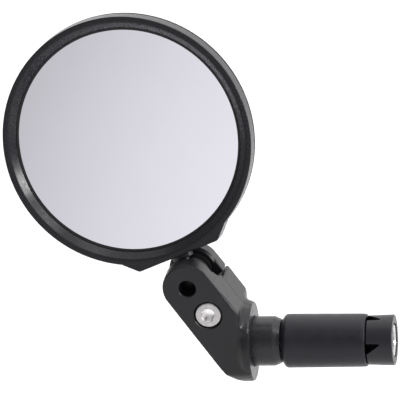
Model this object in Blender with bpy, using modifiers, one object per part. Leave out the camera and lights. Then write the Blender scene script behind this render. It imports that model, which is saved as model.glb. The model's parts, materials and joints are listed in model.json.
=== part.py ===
"""Bar-end bicycle mirror: a round mirror on a ball joint, an oblique elbow and an expanding bar plug.

Frame: the origin is the centre of the elbow's flange face, +X runs along the plug into the handlebar,
+Z is up and -Y is the side that the glass faces. Sizes are written in millimetres and built in metres.
"""
import math

import bmesh
import bpy
from mathutils import Vector

MM = 0.001
GAP = 0.3                 # clearance between neighbouring pieces
ROUND_STEPS = 28          # sides of a small turned piece
DISC_STEPS = 60           # sides of the mirror head's pieces
PLUG_STEPS = 40           # sides of the plug's pieces
MERGE = 0.00001           # merge distance of the Screw modifiers, in metres

# Elbow
LEAN = math.radians(33.4)         # long axis of the elbow, away from vertical
BALL = Vector((-18.8, 0.0, 22.9))  # centre of the ball joint
HEAD_RADIUS = 8.0
EDGE_LEFT = 8.0                   # half widths of the elbow either side of its long axis
EDGE_RIGHT = 8.15
EDGE_ROUND = 0.5
FRONT_FACE = 10.9                 # how far the faces stand from the split plane
REAR_FACE = 11.1
JAW_FACE = 9.7
FLANGE_RADIUS = 12.7
FLANGE_EDGE = 2.4                 # straight edge of the flange, before its cove
SLOT_HALF = 4.3                   # half width of the slot that the stem swings in
SLOT_FLOOR_CENTRE = -0.5          # centre of the slot's round floor, along the long axis from the ball
SLOT_CHAMFER = 0.8
SLIT_START = 5.6                  # along the long axis from the ball: the jaw ends, the rear half starts
SLIT_WIDTH = 0.5
SIGHT_HOLE_RADIUS = 2.75

# Ball joint
BALL_RADIUS = 6.0
SEAT_RADIUS = 6.0
SEAT_DEPTH = 2.6

# Clamp screw, M5 with a 4 mm hexagon
CLAMP_ALONG = 11.1                # from the ball, along the elbow
CLAMP_HEAD_RADIUS = 4.25
CLAMP_HEAD_HEIGHT = 5.0
CLAMP_SHANK = 2.5
CLAMP_LENGTH = 14.0
CLAMP_KEY = 4.0
INSERT_RADIUS = 3.5               # round threaded insert
INSERT_THICK = 3.4

# Tongue of the rear jaw, which the clamp screw pulls
TONGUE_HALF = 4.6
TONGUE_NEAR = 2.6
TONGUE_FAR = 7.3
TONGUE_END = 15.6
JAW_TRAVEL = 0.5

# Plug
BORE_RADIUS = 3.4
NECK_RADIUS = 4.5
BUTTON_RADIUS = 7.4
POCKET_RADIUS = 7.8
POCKET_NEAR = 2.4                 # the pocket behind the flange, from the flange face
POCKET_FAR = 5.5
WASHER_THICK = 0.6
COLLAR_RADIUS = 8.0
COLLAR_RECESS = 0.6               # how deep the flange face is recessed for the collar
COLLAR_END = 9.0
SLEEVE_START = 9.3
SLEEVE_END = 36.6
SLEEVE_RADIUS = 8.68
SLEEVE_END_RADIUS = 8.55
WEDGE_NOSE = 30.6
WEDGE_START = 36.9
WEDGE_END = 45.4
WEDGE_RADII = (5.0, 7.3, 7.9, 8.2)   # nose, root of the nose, small end, big end
NOTCHES = 4
NOTCH_HALF = 1.8                  # half width of a notch at the wedge's small end
NOTCH_DEPTH = 4.3                 # along the wedge
NOTCH_FLOOR = 6.4                 # how far a notch's floor is from the axis
BOLT_RADIUS = 3.0                 # M6
BOLT_HEAD_RADIUS = 5.0
BOLT_HEAD_HEIGHT = 3.8
BOLT_END = 43.6
BOLT_KEY = 5.0
WEDGE_NUT_FLATS = 10.0
WEDGE_NUT_THICK = 5.0

# Screws and dowels that join the elbow's halves: (x, z, seat of the head)
HALF_SCREWS = {"half_screw_upper": (-4.7, 10.0, 6.0), "half_screw_lower": (-3.4, -9.7, 2.0)}
HALF_SCREW_RADIUS = 1.0
HALF_SCREW_HEAD_RADIUS = 1.9
HALF_SCREW_HEAD_HEIGHT = 2.0
HALF_SCREW_TIP = -7.0
DOWELS = {"dowel_upper": (-16.5, 7.7), "dowel_lower": (-7.0, -7.6)}
DOWEL_RADIUS = 0.7
DOWEL_HALF_LENGTH = 3.0

# Mirror head, seen along the stem from the ball
STEM_SWING = math.radians(-22.4)  # stem leans to -X, away from the plug
STEM_BACK = math.radians(-10.2)   # and back, away from the glass side
DISC_CENTRE = 48.6                # ball to the middle of the glass, along the stem
GLASS_PLANE = 2.0                 # glass edge in front of the stem's axis
CHIN_FLAT = 40.6                  # middle of the glass to the chin's flat
CHIN_HALF = 15.0
CHIN_CORNER = 1.6
CHIN_ROOT = math.radians(27.0)
RIM_RADIUS = 40.8
RIM_FRONT = 2.76                  # rim in front of the glass edge
RIM_INNER = 38.8
LIP_RADIUS = 36.75
WALL_BORE = 37.3
WALL_BACK = -2.25
GLASS_RADIUS = 36.0
GLASS_BULGE = 1.08                # the glass is slightly convex
GLASS_THICK = 2.0
COVER_BACK = -11.3
NECK_HALF = (3.5, 2.6)            # half width and half depth of the stem's visible neck
NECK_SPAN = (6.4, 10.6)
TAB_HALF = 4.5
TAB_DEPTH = (0.6, 3.0)
TAB_SPAN = (8.7, 22.0)
TAB_SCREWS = {"tab_screw_lower": 14.0, "tab_screw_upper": 19.0}
COVER_NOTCH_END = 14.0            # how far the tab's notch reaches into the back cover, from the ball
PAD_RADIUS = 22.0
PAD_THICK = 2.0

QUARTER = math.pi / 2
TO_X = (0.0, QUARTER, 0.0)        # turns a piece's own Z axis to +X
TO_Y = (-QUARTER, 0.0, 0.0)       # turns a piece's own Z axis to +Y
TO_FRONT = (QUARTER, 0.0, 0.0)    # turns a piece's own Z axis to -Y


def clear_scene():
    """Remove whatever the open file holds."""
    for obj in list(bpy.data.objects):
        bpy.data.objects.remove(obj, do_unlink=True)


def new_collection(name):
    """A collection in the scene."""
    group = bpy.data.collections.new(name)
    bpy.context.scene.collection.children.link(group)
    return group


def material(name, colour, roughness, metallic=0.0):
    """A plain Principled BSDF material."""
    mat = bpy.data.materials.new(name)
    mat.use_nodes = True
    shader = mat.node_tree.nodes["Principled BSDF"]
    shader.inputs["Base Color"].default_value = (*colour, 1.0)
    shader.inputs["Roughness"].default_value = roughness
    shader.inputs["Metallic"].default_value = metallic
    return mat


def scaled(point):
    """A point in millimetres as a point in metres."""
    return tuple(MM * value for value in point)


def place(obj, location=(0, 0, 0), rotation=(0, 0, 0), parent=None):
    """Put an object at a place in millimetres, in its parent's frame."""
    obj.location = scaled(location)
    obj.rotation_euler = rotation
    obj.parent = parent
    return obj


def frame_empty(name, location, rotation=(0, 0, 0), parent=None):
    """An empty that carries the pieces of one joint."""
    empty = bpy.data.objects.new(name, None)
    empty.empty_display_size = 0.01
    parts.objects.link(empty)
    return place(empty, location, rotation, parent)


def finish(obj, mat):
    """Shade a piece smooth apart from its sharp edges, and give it its material."""
    obj.data.shade_smooth()
    obj.data.set_sharp_from_angle(angle=math.radians(30))
    obj.data.materials.clear()
    obj.data.materials.append(mat)
    return obj


def cutter(obj):
    """Move an object to the cutters, which aren't part of the mirror."""
    for group in list(obj.users_collection):
        group.objects.unlink(obj)
    cutters.objects.link(obj)
    obj.hide_render = True
    obj.display_type = "WIRE"
    return obj


def turned(name, profile, steps=ROUND_STEPS):
    """A turned piece from a profile of (radius, height) that runs down its outer side.

    A profile that starts or ends off the axis is closed into a ring. Half a step of turn keeps the
    piece's corners off the planes of its axes.
    """
    mesh = bpy.data.meshes.new(name)
    phase = math.pi / steps
    across = Vector((math.cos(phase), math.sin(phase), 0.0))
    points = [tuple(MM * (radius * across + Vector((0.0, 0.0, height)))) for radius, height in profile]
    edges = [(i, i + 1) for i in range(len(points) - 1)]
    if profile[0][0] > 0.0:
        edges.append((len(points) - 1, 0))
    mesh.from_pydata(points, edges, [])
    obj = bpy.data.objects.new(name, mesh)
    parts.objects.link(obj)
    screw = obj.modifiers.new("Turn", "SCREW")
    screw.axis = "Z"
    screw.angle = 2 * math.pi
    screw.steps = steps
    screw.render_steps = steps
    screw.use_merge_vertices = True
    screw.merge_threshold = MERGE
    return obj


def rod(name, radius, start, end, steps=ROUND_STEPS):
    """A plain round bar along its own Z axis."""
    return turned(name, [(0.0, end), (radius, end), (radius, start), (0.0, start)], steps)


def prism(name, sides, across_flats, start, end):
    """A bar with flat sides along its own Z axis."""
    mesh = bpy.data.meshes.new(name)
    shape = bmesh.new()
    radius = MM * across_flats / 2 / math.cos(math.pi / sides)
    bmesh.ops.create_cone(shape, cap_ends=True, segments=sides, radius1=radius, radius2=radius,
                          depth=MM * (end - start))
    bmesh.ops.translate(shape, verts=shape.verts, vec=(0.0, 0.0, MM * (start + end) / 2))
    shape.to_mesh(mesh)
    shape.free()
    obj = bpy.data.objects.new(name, mesh)
    parts.objects.link(obj)
    return obj


def block(name, low, high):
    """A box between two corners."""
    mesh = bpy.data.meshes.new(name)
    shape = bmesh.new()
    bmesh.ops.create_cube(shape, size=1.0)
    size = [MM * (b - a) for a, b in zip(low, high)]
    middle = [MM * (a + b) / 2 for a, b in zip(low, high)]
    bmesh.ops.scale(shape, verts=shape.verts, vec=size)
    bmesh.ops.translate(shape, verts=shape.verts, vec=middle)
    shape.to_mesh(mesh)
    shape.free()
    obj = bpy.data.objects.new(name, mesh)
    parts.objects.link(obj)
    return obj


def ball(name, radius):
    """A sphere about its own origin."""
    mesh = bpy.data.meshes.new(name)
    shape = bmesh.new()
    bmesh.ops.create_uvsphere(shape, u_segments=28, v_segments=16, radius=MM * radius)
    shape.to_mesh(mesh)
    shape.free()
    obj = bpy.data.objects.new(name, mesh)
    parts.objects.link(obj)
    return obj


def plate(name, outline, low, high):
    """A flat piece: an outline in its own XY plane, between two heights."""
    curve = bpy.data.curves.new(name + "_outline", "CURVE")
    curve.dimensions = "2D"
    curve.fill_mode = "BOTH"
    curve.extrude = MM * (high - low) / 2
    spline = curve.splines.new("POLY")
    spline.points.add(len(outline) - 1)
    for point, (x, y) in zip(spline.points, outline):
        point.co = (MM * x, MM * y, 0.0, 1.0)
    spline.use_cyclic_u = True
    drawn = bpy.data.objects.new(name + "_outline", curve)
    parts.objects.link(drawn)
    mesh = bpy.data.meshes.new_from_object(drawn.evaluated_get(bpy.context.evaluated_depsgraph_get()))
    mesh.name = name
    shape = bmesh.new()
    shape.from_mesh(mesh)
    bmesh.ops.remove_doubles(shape, verts=shape.verts, dist=0.000001)
    bmesh.ops.dissolve_limit(shape, angle_limit=math.radians(1), verts=shape.verts, edges=shape.edges)
    bmesh.ops.translate(shape, verts=shape.verts, vec=(0.0, 0.0, MM * (low + high) / 2))
    bmesh.ops.recalc_face_normals(shape, faces=shape.faces)
    shape.to_mesh(mesh)
    shape.free()
    obj = bpy.data.objects.new(name, mesh)
    obj.matrix_world = drawn.matrix_world
    parts.objects.link(obj)
    bpy.data.objects.remove(drawn, do_unlink=True)
    return obj


def combine(obj, other, operation):
    """Join, cut or trim an object with another one, which becomes a cutter."""
    step = obj.modifiers.new(other.name, "BOOLEAN")
    step.operation = operation
    step.solver = "EXACT"
    step.object = cutter(other)


def bevel(obj, width, segments=2, angle=40):
    """Round the sharp edges of a piece."""
    step = obj.modifiers.new("Edges", "BEVEL")
    step.width = MM * width
    step.segments = segments
    step.limit_method = "ANGLE"
    step.angle_limit = math.radians(angle)


def on_elbow(along, across):
    """World (x, z) of a point given along the elbow from the ball, and across it."""
    return (BALL.x + along * math.sin(LEAN) + across * math.cos(LEAN),
            BALL.z - along * math.cos(LEAN) + across * math.sin(LEAN))


def arc(radius, start, end, steps, centre=(0.0, 0.0)):
    """Points on an arc, angles from the X axis."""
    turn = [start + (end - start) * i / steps for i in range(steps + 1)]
    return [(centre[0] + radius * math.cos(a), centre[1] + radius * math.sin(a)) for a in turn]


def elbow_outline(end_x):
    """Outline of the elbow in XZ: round head, two straight edges, flange edge and a curved heel."""
    head = [on_elbow(-HEAD_RADIUS * math.cos(a), HEAD_RADIUS * math.sin(a))
            for a in [math.radians(-90 + 10 * i) for i in range(19)]]
    shoulder = [on_elbow(17.3, EDGE_RIGHT), (end_x, FLANGE_RADIUS), (end_x, -FLANGE_RADIUS)]
    heel_start = Vector(on_elbow(27.0, -EDGE_LEFT))
    heel_corner = Vector((-4.6, -FLANGE_RADIUS))
    heel_end = Vector((-1.6, -FLANGE_RADIUS))
    heel = []
    for i in range(8):
        t = i / 7
        heel.append(tuple(heel_end * (1 - t) ** 2 + heel_corner * 2 * t * (1 - t) + heel_start * t ** 2))
    return head + shoulder + heel


def elbow_blank(name, near, far):
    """The elbow between two Y planes, before its slot, bores and pockets are cut."""
    blank = plate(name, elbow_outline(-0.6), -far, -near)
    place(blank, rotation=TO_FRONT)
    bevel(blank, EDGE_ROUND)
    lower_limit = plate(name + "_heel_limit",
                        arc(FLANGE_RADIUS + 0.25, math.pi, 2 * math.pi, 24) + [(13.1, 50.0), (-13.1, 50.0)],
                        -60.0, 2.0)
    combine(blank, place(lower_limit, rotation=(QUARTER, 0.0, QUARTER)), "INTERSECT")
    end_limit = turned(name + "_end_limit", [
        (0.0, 1.0), (12.8, 1.0), (13.1, -1.6), (13.7, -2.6), (14.7, -3.0), (20.0, -3.2),
        (50.0, -10.0), (50.0, -70.0), (0.0, -70.0)], PLUG_STEPS)
    combine(blank, place(end_limit, rotation=TO_X), "INTERSECT")
    disc = turned(name + "_disc", [
        (0.0, 0.0), (FLANGE_RADIUS - 0.25, 0.0), (FLANGE_RADIUS, -0.25), (FLANGE_RADIUS, -FLANGE_EDGE),
        (FLANGE_RADIUS - 0.9, -3.2), (FLANGE_RADIUS - 1.7, -4.4), (9.5, -7.6), (0.0, -7.6)], PLUG_STEPS)
    combine(blank, place(disc, rotation=TO_X), "UNION")
    return blank


def split_box(name, side):
    """The block that trims a half of the elbow at the split plane; side is -1 for the front half."""
    inner = -side * GAP / 2
    low, high = sorted((-inner, -side * 30.0))
    return block(name, (-60.0, low, -40.0), (20.0, high, 60.0))


def slot_outline():
    """Outline across the slot: parallel walls and a round floor, open above the head."""
    floor = arc(SLOT_HALF, math.pi, 2 * math.pi, 12, (0.0, SLOT_FLOOR_CENTRE))
    return floor + [(SLOT_HALF, 6.0), (9.0, 30.0), (-9.0, 30.0), (-SLOT_HALF, 6.0)]


def cut_common(half, tag):
    """The slot, the ball's clearance and the pockets that both halves share."""
    slot = plate(tag + "_slot", slot_outline(), -30.0, 30.0)
    combine(half, place(slot, rotation=(QUARTER, 0.0, QUARTER), parent=elbow_axis), "DIFFERENCE")
    clearance = ball(tag + "_ball_clearance", BALL_RADIUS + GAP)
    combine(half, place(clearance, BALL), "DIFFERENCE")
    pocket = turned(tag + "_collar_pocket", [
        (0.0, 5.0), (COLLAR_RADIUS + GAP, 5.0), (COLLAR_RADIUS + GAP, -COLLAR_RECESS),
        (NECK_RADIUS + GAP, -COLLAR_RECESS), (NECK_RADIUS + GAP, -POCKET_NEAR),
        (POCKET_RADIUS, -POCKET_NEAR), (POCKET_RADIUS, -POCKET_FAR), (BOLT_HEAD_RADIUS + 0.4, -POCKET_FAR),
        (BOLT_HEAD_RADIUS + 0.4, -30.0), (0.0, -30.0)])
    combine(half, place(pocket, rotation=TO_X), "DIFFERENCE")
    for name, (x, z) in DOWELS.items():
        depth = DOWEL_HALF_LENGTH + GAP
        hole = rod(tag + "_" + name, DOWEL_RADIUS + GAP, -depth, depth, 20)
        combine(half, place(hole, (x, 0.0, z), TO_Y), "DIFFERENCE")
    for name, (x, z, seat) in HALF_SCREWS.items():
        hole = turned(tag + "_" + name, [
            (0.0, 20.0), (HALF_SCREW_HEAD_RADIUS + GAP, 20.0), (HALF_SCREW_HEAD_RADIUS + GAP, seat - GAP),
            (HALF_SCREW_RADIUS + GAP, seat - GAP), (HALF_SCREW_RADIUS + GAP, HALF_SCREW_TIP - GAP),
            (0.0, HALF_SCREW_TIP - GAP)], 24)
        combine(half, place(hole, (x, 0.0, z), TO_Y), "DIFFERENCE")


def seat_recess(tag, side):
    """The round recess that holds a ball seat; side is -1 at the front."""
    low, high = sorted((side * (SLOT_HALF - 0.5), side * (SLOT_HALF + SEAT_DEPTH + GAP)))
    return place(rod(tag + "_seat_recess", SEAT_RADIUS + GAP, low, high), BALL, TO_Y)


def edge_chamfer(tag, side):
    """A ring that takes the inner edge off a jaw, so that the stem can lean in the slot."""
    near = SLOT_HALF - 0.6
    far = SLOT_HALF + SLOT_CHAMFER
    inner = HEAD_RADIUS - SLOT_CHAMFER - 0.6
    ring = turned(tag + "_chamfer", [(HEAD_RADIUS, far), (HEAD_RADIUS + 3.0, far), (HEAD_RADIUS + 3.0, near),
                                     (inner, near)])
    place(ring, BALL, TO_FRONT if side < 0 else TO_Y)
    above_floor = block(tag + "_above_floor", (-20.0, -20.0, SLOT_FLOOR_CENTRE - 1.0), (20.0, 20.0, 20.0))
    combine(ring, place(above_floor, parent=elbow_axis), "INTERSECT")
    return ring


def make_front_half():
    """Front half of the elbow, with the sight hole and the clamp screw's counterbore."""
    half = elbow_blank("elbow_front_half", -FRONT_FACE, 6.0)
    combine(half, split_box("front_split", -1), "DIFFERENCE")
    cut_common(half, "front")
    combine(half, seat_recess("front", -1), "DIFFERENCE")
    combine(half, edge_chamfer("front", -1), "DIFFERENCE")
    sight = rod("front_sight_hole", SIGHT_HOLE_RADIUS, -20.0, -2.0, 32)
    combine(half, place(sight, BALL, TO_Y), "DIFFERENCE")
    x, z = on_elbow(CLAMP_ALONG, 0.0)
    seat = -FRONT_FACE + 0.2 + CLAMP_HEAD_HEIGHT + GAP
    bore = turned("front_clamp_bore", [
        (0.0, 5.0), (CLAMP_SHANK + GAP, 5.0), (CLAMP_SHANK + GAP, seat), (CLAMP_HEAD_RADIUS + GAP, seat),
        (CLAMP_HEAD_RADIUS + GAP, -20.0), (0.0, -20.0)])
    combine(half, place(bore, (x, 0.0, z), TO_Y), "DIFFERENCE")
    return finish(half, dark_plastic)


def make_rear_half():
    """Rear half of the elbow, with a channel for the jaw's tongue."""
    half = elbow_blank("elbow_rear_half", -6.0, REAR_FACE)
    combine(half, split_box("rear_split", 1), "DIFFERENCE")
    cut_common(half, "rear")
    head_gap = block("rear_head_gap", (-30.0, -1.0, -SLIT_START - SLIT_WIDTH), (30.0, 30.0, 40.0))
    combine(half, place(head_gap, parent=elbow_axis), "DIFFERENCE")
    channel = block("rear_tongue_channel",
                    (-TONGUE_HALF - GAP, TONGUE_NEAR - GAP, -TONGUE_END - GAP),
                    (TONGUE_HALF + GAP, TONGUE_FAR + JAW_TRAVEL + GAP, 0.0))
    combine(half, place(channel, parent=elbow_axis), "DIFFERENCE")
    x, z = on_elbow(CLAMP_ALONG, 0.0)
    bore = rod("rear_clamp_bore", CLAMP_SHANK + GAP, -5.0, 9.2)
    combine(half, place(bore, (x, 0.0, z), TO_Y), "DIFFERENCE")
    return finish(half, dark_plastic)


def make_rear_jaw():
    """Rear jaw: the lobe behind the stem's slot, and the tongue that the clamp screw pulls."""
    jaw = plate("rear_jaw", elbow_outline(-0.6), -JAW_FACE, -SLOT_HALF)
    place(jaw, rotation=TO_FRONT)
    bevel(jaw, EDGE_ROUND)
    below = block("jaw_below", (-40.0, -20.0, -60.0), (40.0, 40.0, -SLIT_START))
    combine(jaw, place(below, parent=elbow_axis), "DIFFERENCE")
    tongue = block("jaw_tongue", (-TONGUE_HALF, TONGUE_NEAR, -TONGUE_END), (TONGUE_HALF, TONGUE_FAR, -3.0))
    combine(jaw, place(tongue, parent=elbow_axis), "UNION")
    combine(jaw, place(ball("jaw_ball_clearance", BALL_RADIUS + GAP), BALL), "DIFFERENCE")
    combine(jaw, seat_recess("jaw", 1), "DIFFERENCE")
    combine(jaw, edge_chamfer("jaw", 1), "DIFFERENCE")
    x, z = on_elbow(CLAMP_ALONG, 0.0)
    bore = rod("jaw_clamp_bore", CLAMP_SHANK + GAP, 0.0, 20.0)
    combine(jaw, place(bore, (x, 0.0, z), TO_Y), "DIFFERENCE")
    pocket = rod("jaw_insert_pocket", INSERT_RADIUS + GAP, TONGUE_FAR - INSERT_THICK - GAP, 20.0)
    combine(jaw, place(pocket, (x, 0.0, z), TO_Y), "DIFFERENCE")
    return finish(jaw, dark_plastic)


def make_clamp_screw():
    """Socket-head screw with a 4 mm hexagon, turning about its own axis."""
    x, z = on_elbow(CLAMP_ALONG, 0.0)
    top = FRONT_FACE - 0.2
    under = top - CLAMP_HEAD_HEIGHT
    screw = turned("clamp_screw", [
        (0.0, top), (CLAMP_HEAD_RADIUS - 0.4, top), (CLAMP_HEAD_RADIUS, top - 0.4),
        (CLAMP_HEAD_RADIUS, under), (CLAMP_SHANK, under), (CLAMP_SHANK, under - CLAMP_LENGTH + 0.5),
        (CLAMP_SHANK - 0.5, under - CLAMP_LENGTH), (0.0, under - CLAMP_LENGTH)])
    place(screw, (x, 0.0, z), TO_FRONT)
    key = prism("clamp_screw_key", 6, CLAMP_KEY, top - 2.6, top + 2.0)
    combine(screw, place(key, (x, 0.0, z), TO_FRONT), "DIFFERENCE")
    return finish(screw, bright_steel)


def make_clamp_insert():
    """Round threaded insert in the tongue of the rear jaw."""
    x, z = on_elbow(CLAMP_ALONG, 0.0)
    low = TONGUE_FAR - INSERT_THICK
    insert = turned("clamp_insert", [
        (CLAMP_SHANK + GAP, TONGUE_FAR), (INSERT_RADIUS - 0.3, TONGUE_FAR), (INSERT_RADIUS, TONGUE_FAR - 0.3),
        (INSERT_RADIUS, low), (CLAMP_SHANK + GAP, low)])
    finish(place(insert, (x, 0.0, z), TO_Y), brass)


def make_seats():
    """Two nylon cups that the ball turns in; the front one is open at the sight hole."""
    for name, side, rotation in (("front_seat", -1, TO_FRONT), ("rear_seat", 1, TO_Y)):
        seat = rod(name, SEAT_RADIUS, SLOT_HALF, SLOT_HALF + SEAT_DEPTH)
        place(seat, BALL, rotation)
        combine(seat, place(ball(name + "_cup", BALL_RADIUS + GAP), BALL), "DIFFERENCE")
        if side < 0:
            hole = rod(name + "_hole", SIGHT_HOLE_RADIUS, 0.0, 20.0, 32)
            combine(seat, place(hole, BALL, rotation), "DIFFERENCE")
        finish(seat, nylon)


def make_stud_ball():
    """Ball of the joint, bored for the stem's pin."""
    sphere = ball("stud_ball", BALL_RADIUS)
    place(sphere, parent=mirror_axis)
    bore = rod("stud_ball_bore", 2.2, -3.3, 12.0, 24)
    combine(sphere, place(bore, parent=mirror_axis), "DIFFERENCE")
    return finish(sphere, dark_metal)


def make_half_screws():
    """Two small screws that hold the elbow's halves together, put in from the rear."""
    for name, (x, z, seat) in HALF_SCREWS.items():
        head = seat + HALF_SCREW_HEAD_HEIGHT
        screw = turned(name, [
            (0.0, head), (HALF_SCREW_HEAD_RADIUS - 0.3, head), (HALF_SCREW_HEAD_RADIUS, head - 0.3),
            (HALF_SCREW_HEAD_RADIUS, seat), (HALF_SCREW_RADIUS, seat), (HALF_SCREW_RADIUS, HALF_SCREW_TIP),
            (0.0, HALF_SCREW_TIP)], 24)
        place(screw, (x, 0.0, z), TO_Y)
        key = prism(name + "_key", 6, 2.0, head - 1.3, head + 1.0)
        combine(screw, place(key, (x, 0.0, z), TO_Y), "DIFFERENCE")
        finish(screw, black_steel)


def make_dowels():
    """Two pins that line the halves up."""
    for name, (x, z) in DOWELS.items():
        pin = rod(name, DOWEL_RADIUS, -DOWEL_HALF_LENGTH, DOWEL_HALF_LENGTH, 20)
        place(pin, (x, 0.0, z), TO_Y)
        finish(pin, bright_steel)


def make_plug():
    """Collar, friction washer, rubber sleeve, wedge, its nut and the expander bolt, all along +X."""
    washer_near = POCKET_NEAR + GAP
    button_near = washer_near + WASHER_THICK + GAP
    button_far = POCKET_FAR - GAP
    collar = turned("plug_collar", [
        (BORE_RADIUS, COLLAR_END), (COLLAR_RADIUS - 1.0, COLLAR_END), (COLLAR_RADIUS, COLLAR_END - 2.2),
        (COLLAR_RADIUS, GAP - COLLAR_RECESS), (NECK_RADIUS, GAP - COLLAR_RECESS),
        (NECK_RADIUS, -button_near), (BUTTON_RADIUS, -button_near),
        (BUTTON_RADIUS, -button_far), (BORE_RADIUS, -button_far)], PLUG_STEPS)
    finish(place(collar, rotation=TO_X), black_steel)
    washer = turned("friction_washer", [
        (NECK_RADIUS + GAP, -washer_near), (BUTTON_RADIUS, -washer_near),
        (BUTTON_RADIUS, -washer_near - WASHER_THICK), (NECK_RADIUS + GAP, -washer_near - WASHER_THICK)])
    finish(place(washer, rotation=TO_X), nylon)
    nose, root, small, big = WEDGE_RADII
    sleeve = turned("expander_sleeve", [
        (root + GAP, SLEEVE_END), (SLEEVE_END_RADIUS - 0.5, SLEEVE_END),
        (SLEEVE_END_RADIUS, SLEEVE_END - 0.6), (SLEEVE_RADIUS, SLEEVE_START + 1.3),
        (SLEEVE_RADIUS - 1.65, SLEEVE_START), (BORE_RADIUS, SLEEVE_START), (BORE_RADIUS, WEDGE_NOSE - GAP),
        (nose + GAP, WEDGE_NOSE - GAP)], PLUG_STEPS)
    finish(place(sleeve, rotation=TO_X), black_rubber)
    wedge = turned("expander_wedge", [
        (BORE_RADIUS, WEDGE_END), (big - 0.4, WEDGE_END), (big, WEDGE_END - 0.6), (small, WEDGE_START),
        (root, WEDGE_START), (nose, WEDGE_NOSE), (BORE_RADIUS, WEDGE_NOSE)], PLUG_STEPS)
    place(wedge, rotation=TO_X)
    nut_start = WEDGE_END - GAP - WEDGE_NUT_THICK
    pocket = prism("wedge_nut_pocket", 6, WEDGE_NUT_FLATS + 2 * GAP, nut_start - GAP, WEDGE_END + 5.0)
    combine(wedge, place(pocket, rotation=TO_X), "DIFFERENCE")
    for i in range(NOTCHES):
        hand = -1.0 if i % 2 else 1.0
        tooth = [(hand * x, along) for x, along in (
            (-NOTCH_HALF, WEDGE_START - 1.0), (NOTCH_HALF, WEDGE_START - 1.0),
            (NOTCH_HALF, WEDGE_START + NOTCH_DEPTH), (NOTCH_HALF - 0.6, WEDGE_START + NOTCH_DEPTH))]
        if hand < 0:
            tooth.reverse()
        notch = plate("wedge_notch_%d" % (i + 1), tooth, NOTCH_FLOOR, big + 2.0)
        spoke = frame_empty("wedge_spoke_%d" % (i + 1), (0, 0, 0), (i * QUARTER, 0.0, 0.0))
        combine(wedge, place(notch, rotation=(0.0, 0.0, -QUARTER), parent=spoke), "DIFFERENCE")
    finish(wedge, dark_plastic)
    nut = place(prism("wedge_nut", 6, WEDGE_NUT_FLATS, nut_start, nut_start + WEDGE_NUT_THICK), rotation=TO_X)
    thread = rod("wedge_nut_bore", BOLT_RADIUS + GAP, 30.0, 50.0, 24)
    combine(nut, place(thread, rotation=TO_X), "DIFFERENCE")
    finish(nut, bright_steel)
    under = -POCKET_FAR
    bolt = turned("expander_bolt", [
        (0.0, BOLT_END), (BOLT_RADIUS - 0.6, BOLT_END), (BOLT_RADIUS, BOLT_END - 0.6), (BOLT_RADIUS, under),
        (BOLT_HEAD_RADIUS, under), (BOLT_HEAD_RADIUS, under - BOLT_HEAD_HEIGHT + 0.4),
        (BOLT_HEAD_RADIUS - 0.4, under - BOLT_HEAD_HEIGHT), (0.0, under - BOLT_HEAD_HEIGHT)])
    place(bolt, rotation=TO_X)
    face = under - BOLT_HEAD_HEIGHT
    key = prism("expander_bolt_key", 6, BOLT_KEY, face - 2.0, face + 2.6)
    combine(bolt, place(key, rotation=TO_X), "DIFFERENCE")
    finish(bolt, bright_steel)


def chin_outline():
    """The chin below the rim: a flat with round corners that runs into the rim's circle."""
    inner = arc(RIM_INNER + 0.4, -QUARTER + CHIN_ROOT, -QUARTER - CHIN_ROOT, 14)
    corner = (CHIN_HALF - CHIN_CORNER, -CHIN_FLAT + CHIN_CORNER)
    right = arc(CHIN_CORNER, -QUARTER, math.radians(-47), 4, corner)
    right.append((RIM_RADIUS * math.sin(CHIN_ROOT), -RIM_RADIUS * math.cos(CHIN_ROOT)))
    left = [(-x, y) for x, y in reversed(right)]
    return left + right + inner


def make_front_frame():
    """Ring that holds the glass: bevel, rim, side wall and the chin, notched for the stem."""
    frame = turned("front_frame", [
        (RIM_INNER, RIM_FRONT), (RIM_RADIUS - 0.5, RIM_FRONT), (RIM_RADIUS, RIM_FRONT - 0.5),
        (RIM_RADIUS, WALL_BACK), (WALL_BORE, WALL_BACK), (WALL_BORE, GAP), (LIP_RADIUS, GAP),
        (LIP_RADIUS, 0.45)], DISC_STEPS)
    place(frame, (0.0, -GLASS_PLANE, DISC_CENTRE), TO_FRONT, mirror_axis)
    chin = plate("frame_chin", chin_outline(), WALL_BACK + 0.02, RIM_FRONT - 0.02)
    place(chin, (0.0, -GLASS_PLANE, DISC_CENTRE), TO_FRONT, mirror_axis)
    bevel(chin, 0.4)
    combine(frame, chin, "UNION")
    notch = block("frame_notch", (-NECK_HALF[0] - GAP, -NECK_HALF[1] - GAP, 0.0),
                  (NECK_HALF[0] + GAP, 6.0, NECK_SPAN[1] + GAP))
    combine(frame, place(notch, parent=mirror_axis), "DIFFERENCE")
    return finish(frame, dark_plastic)


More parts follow.
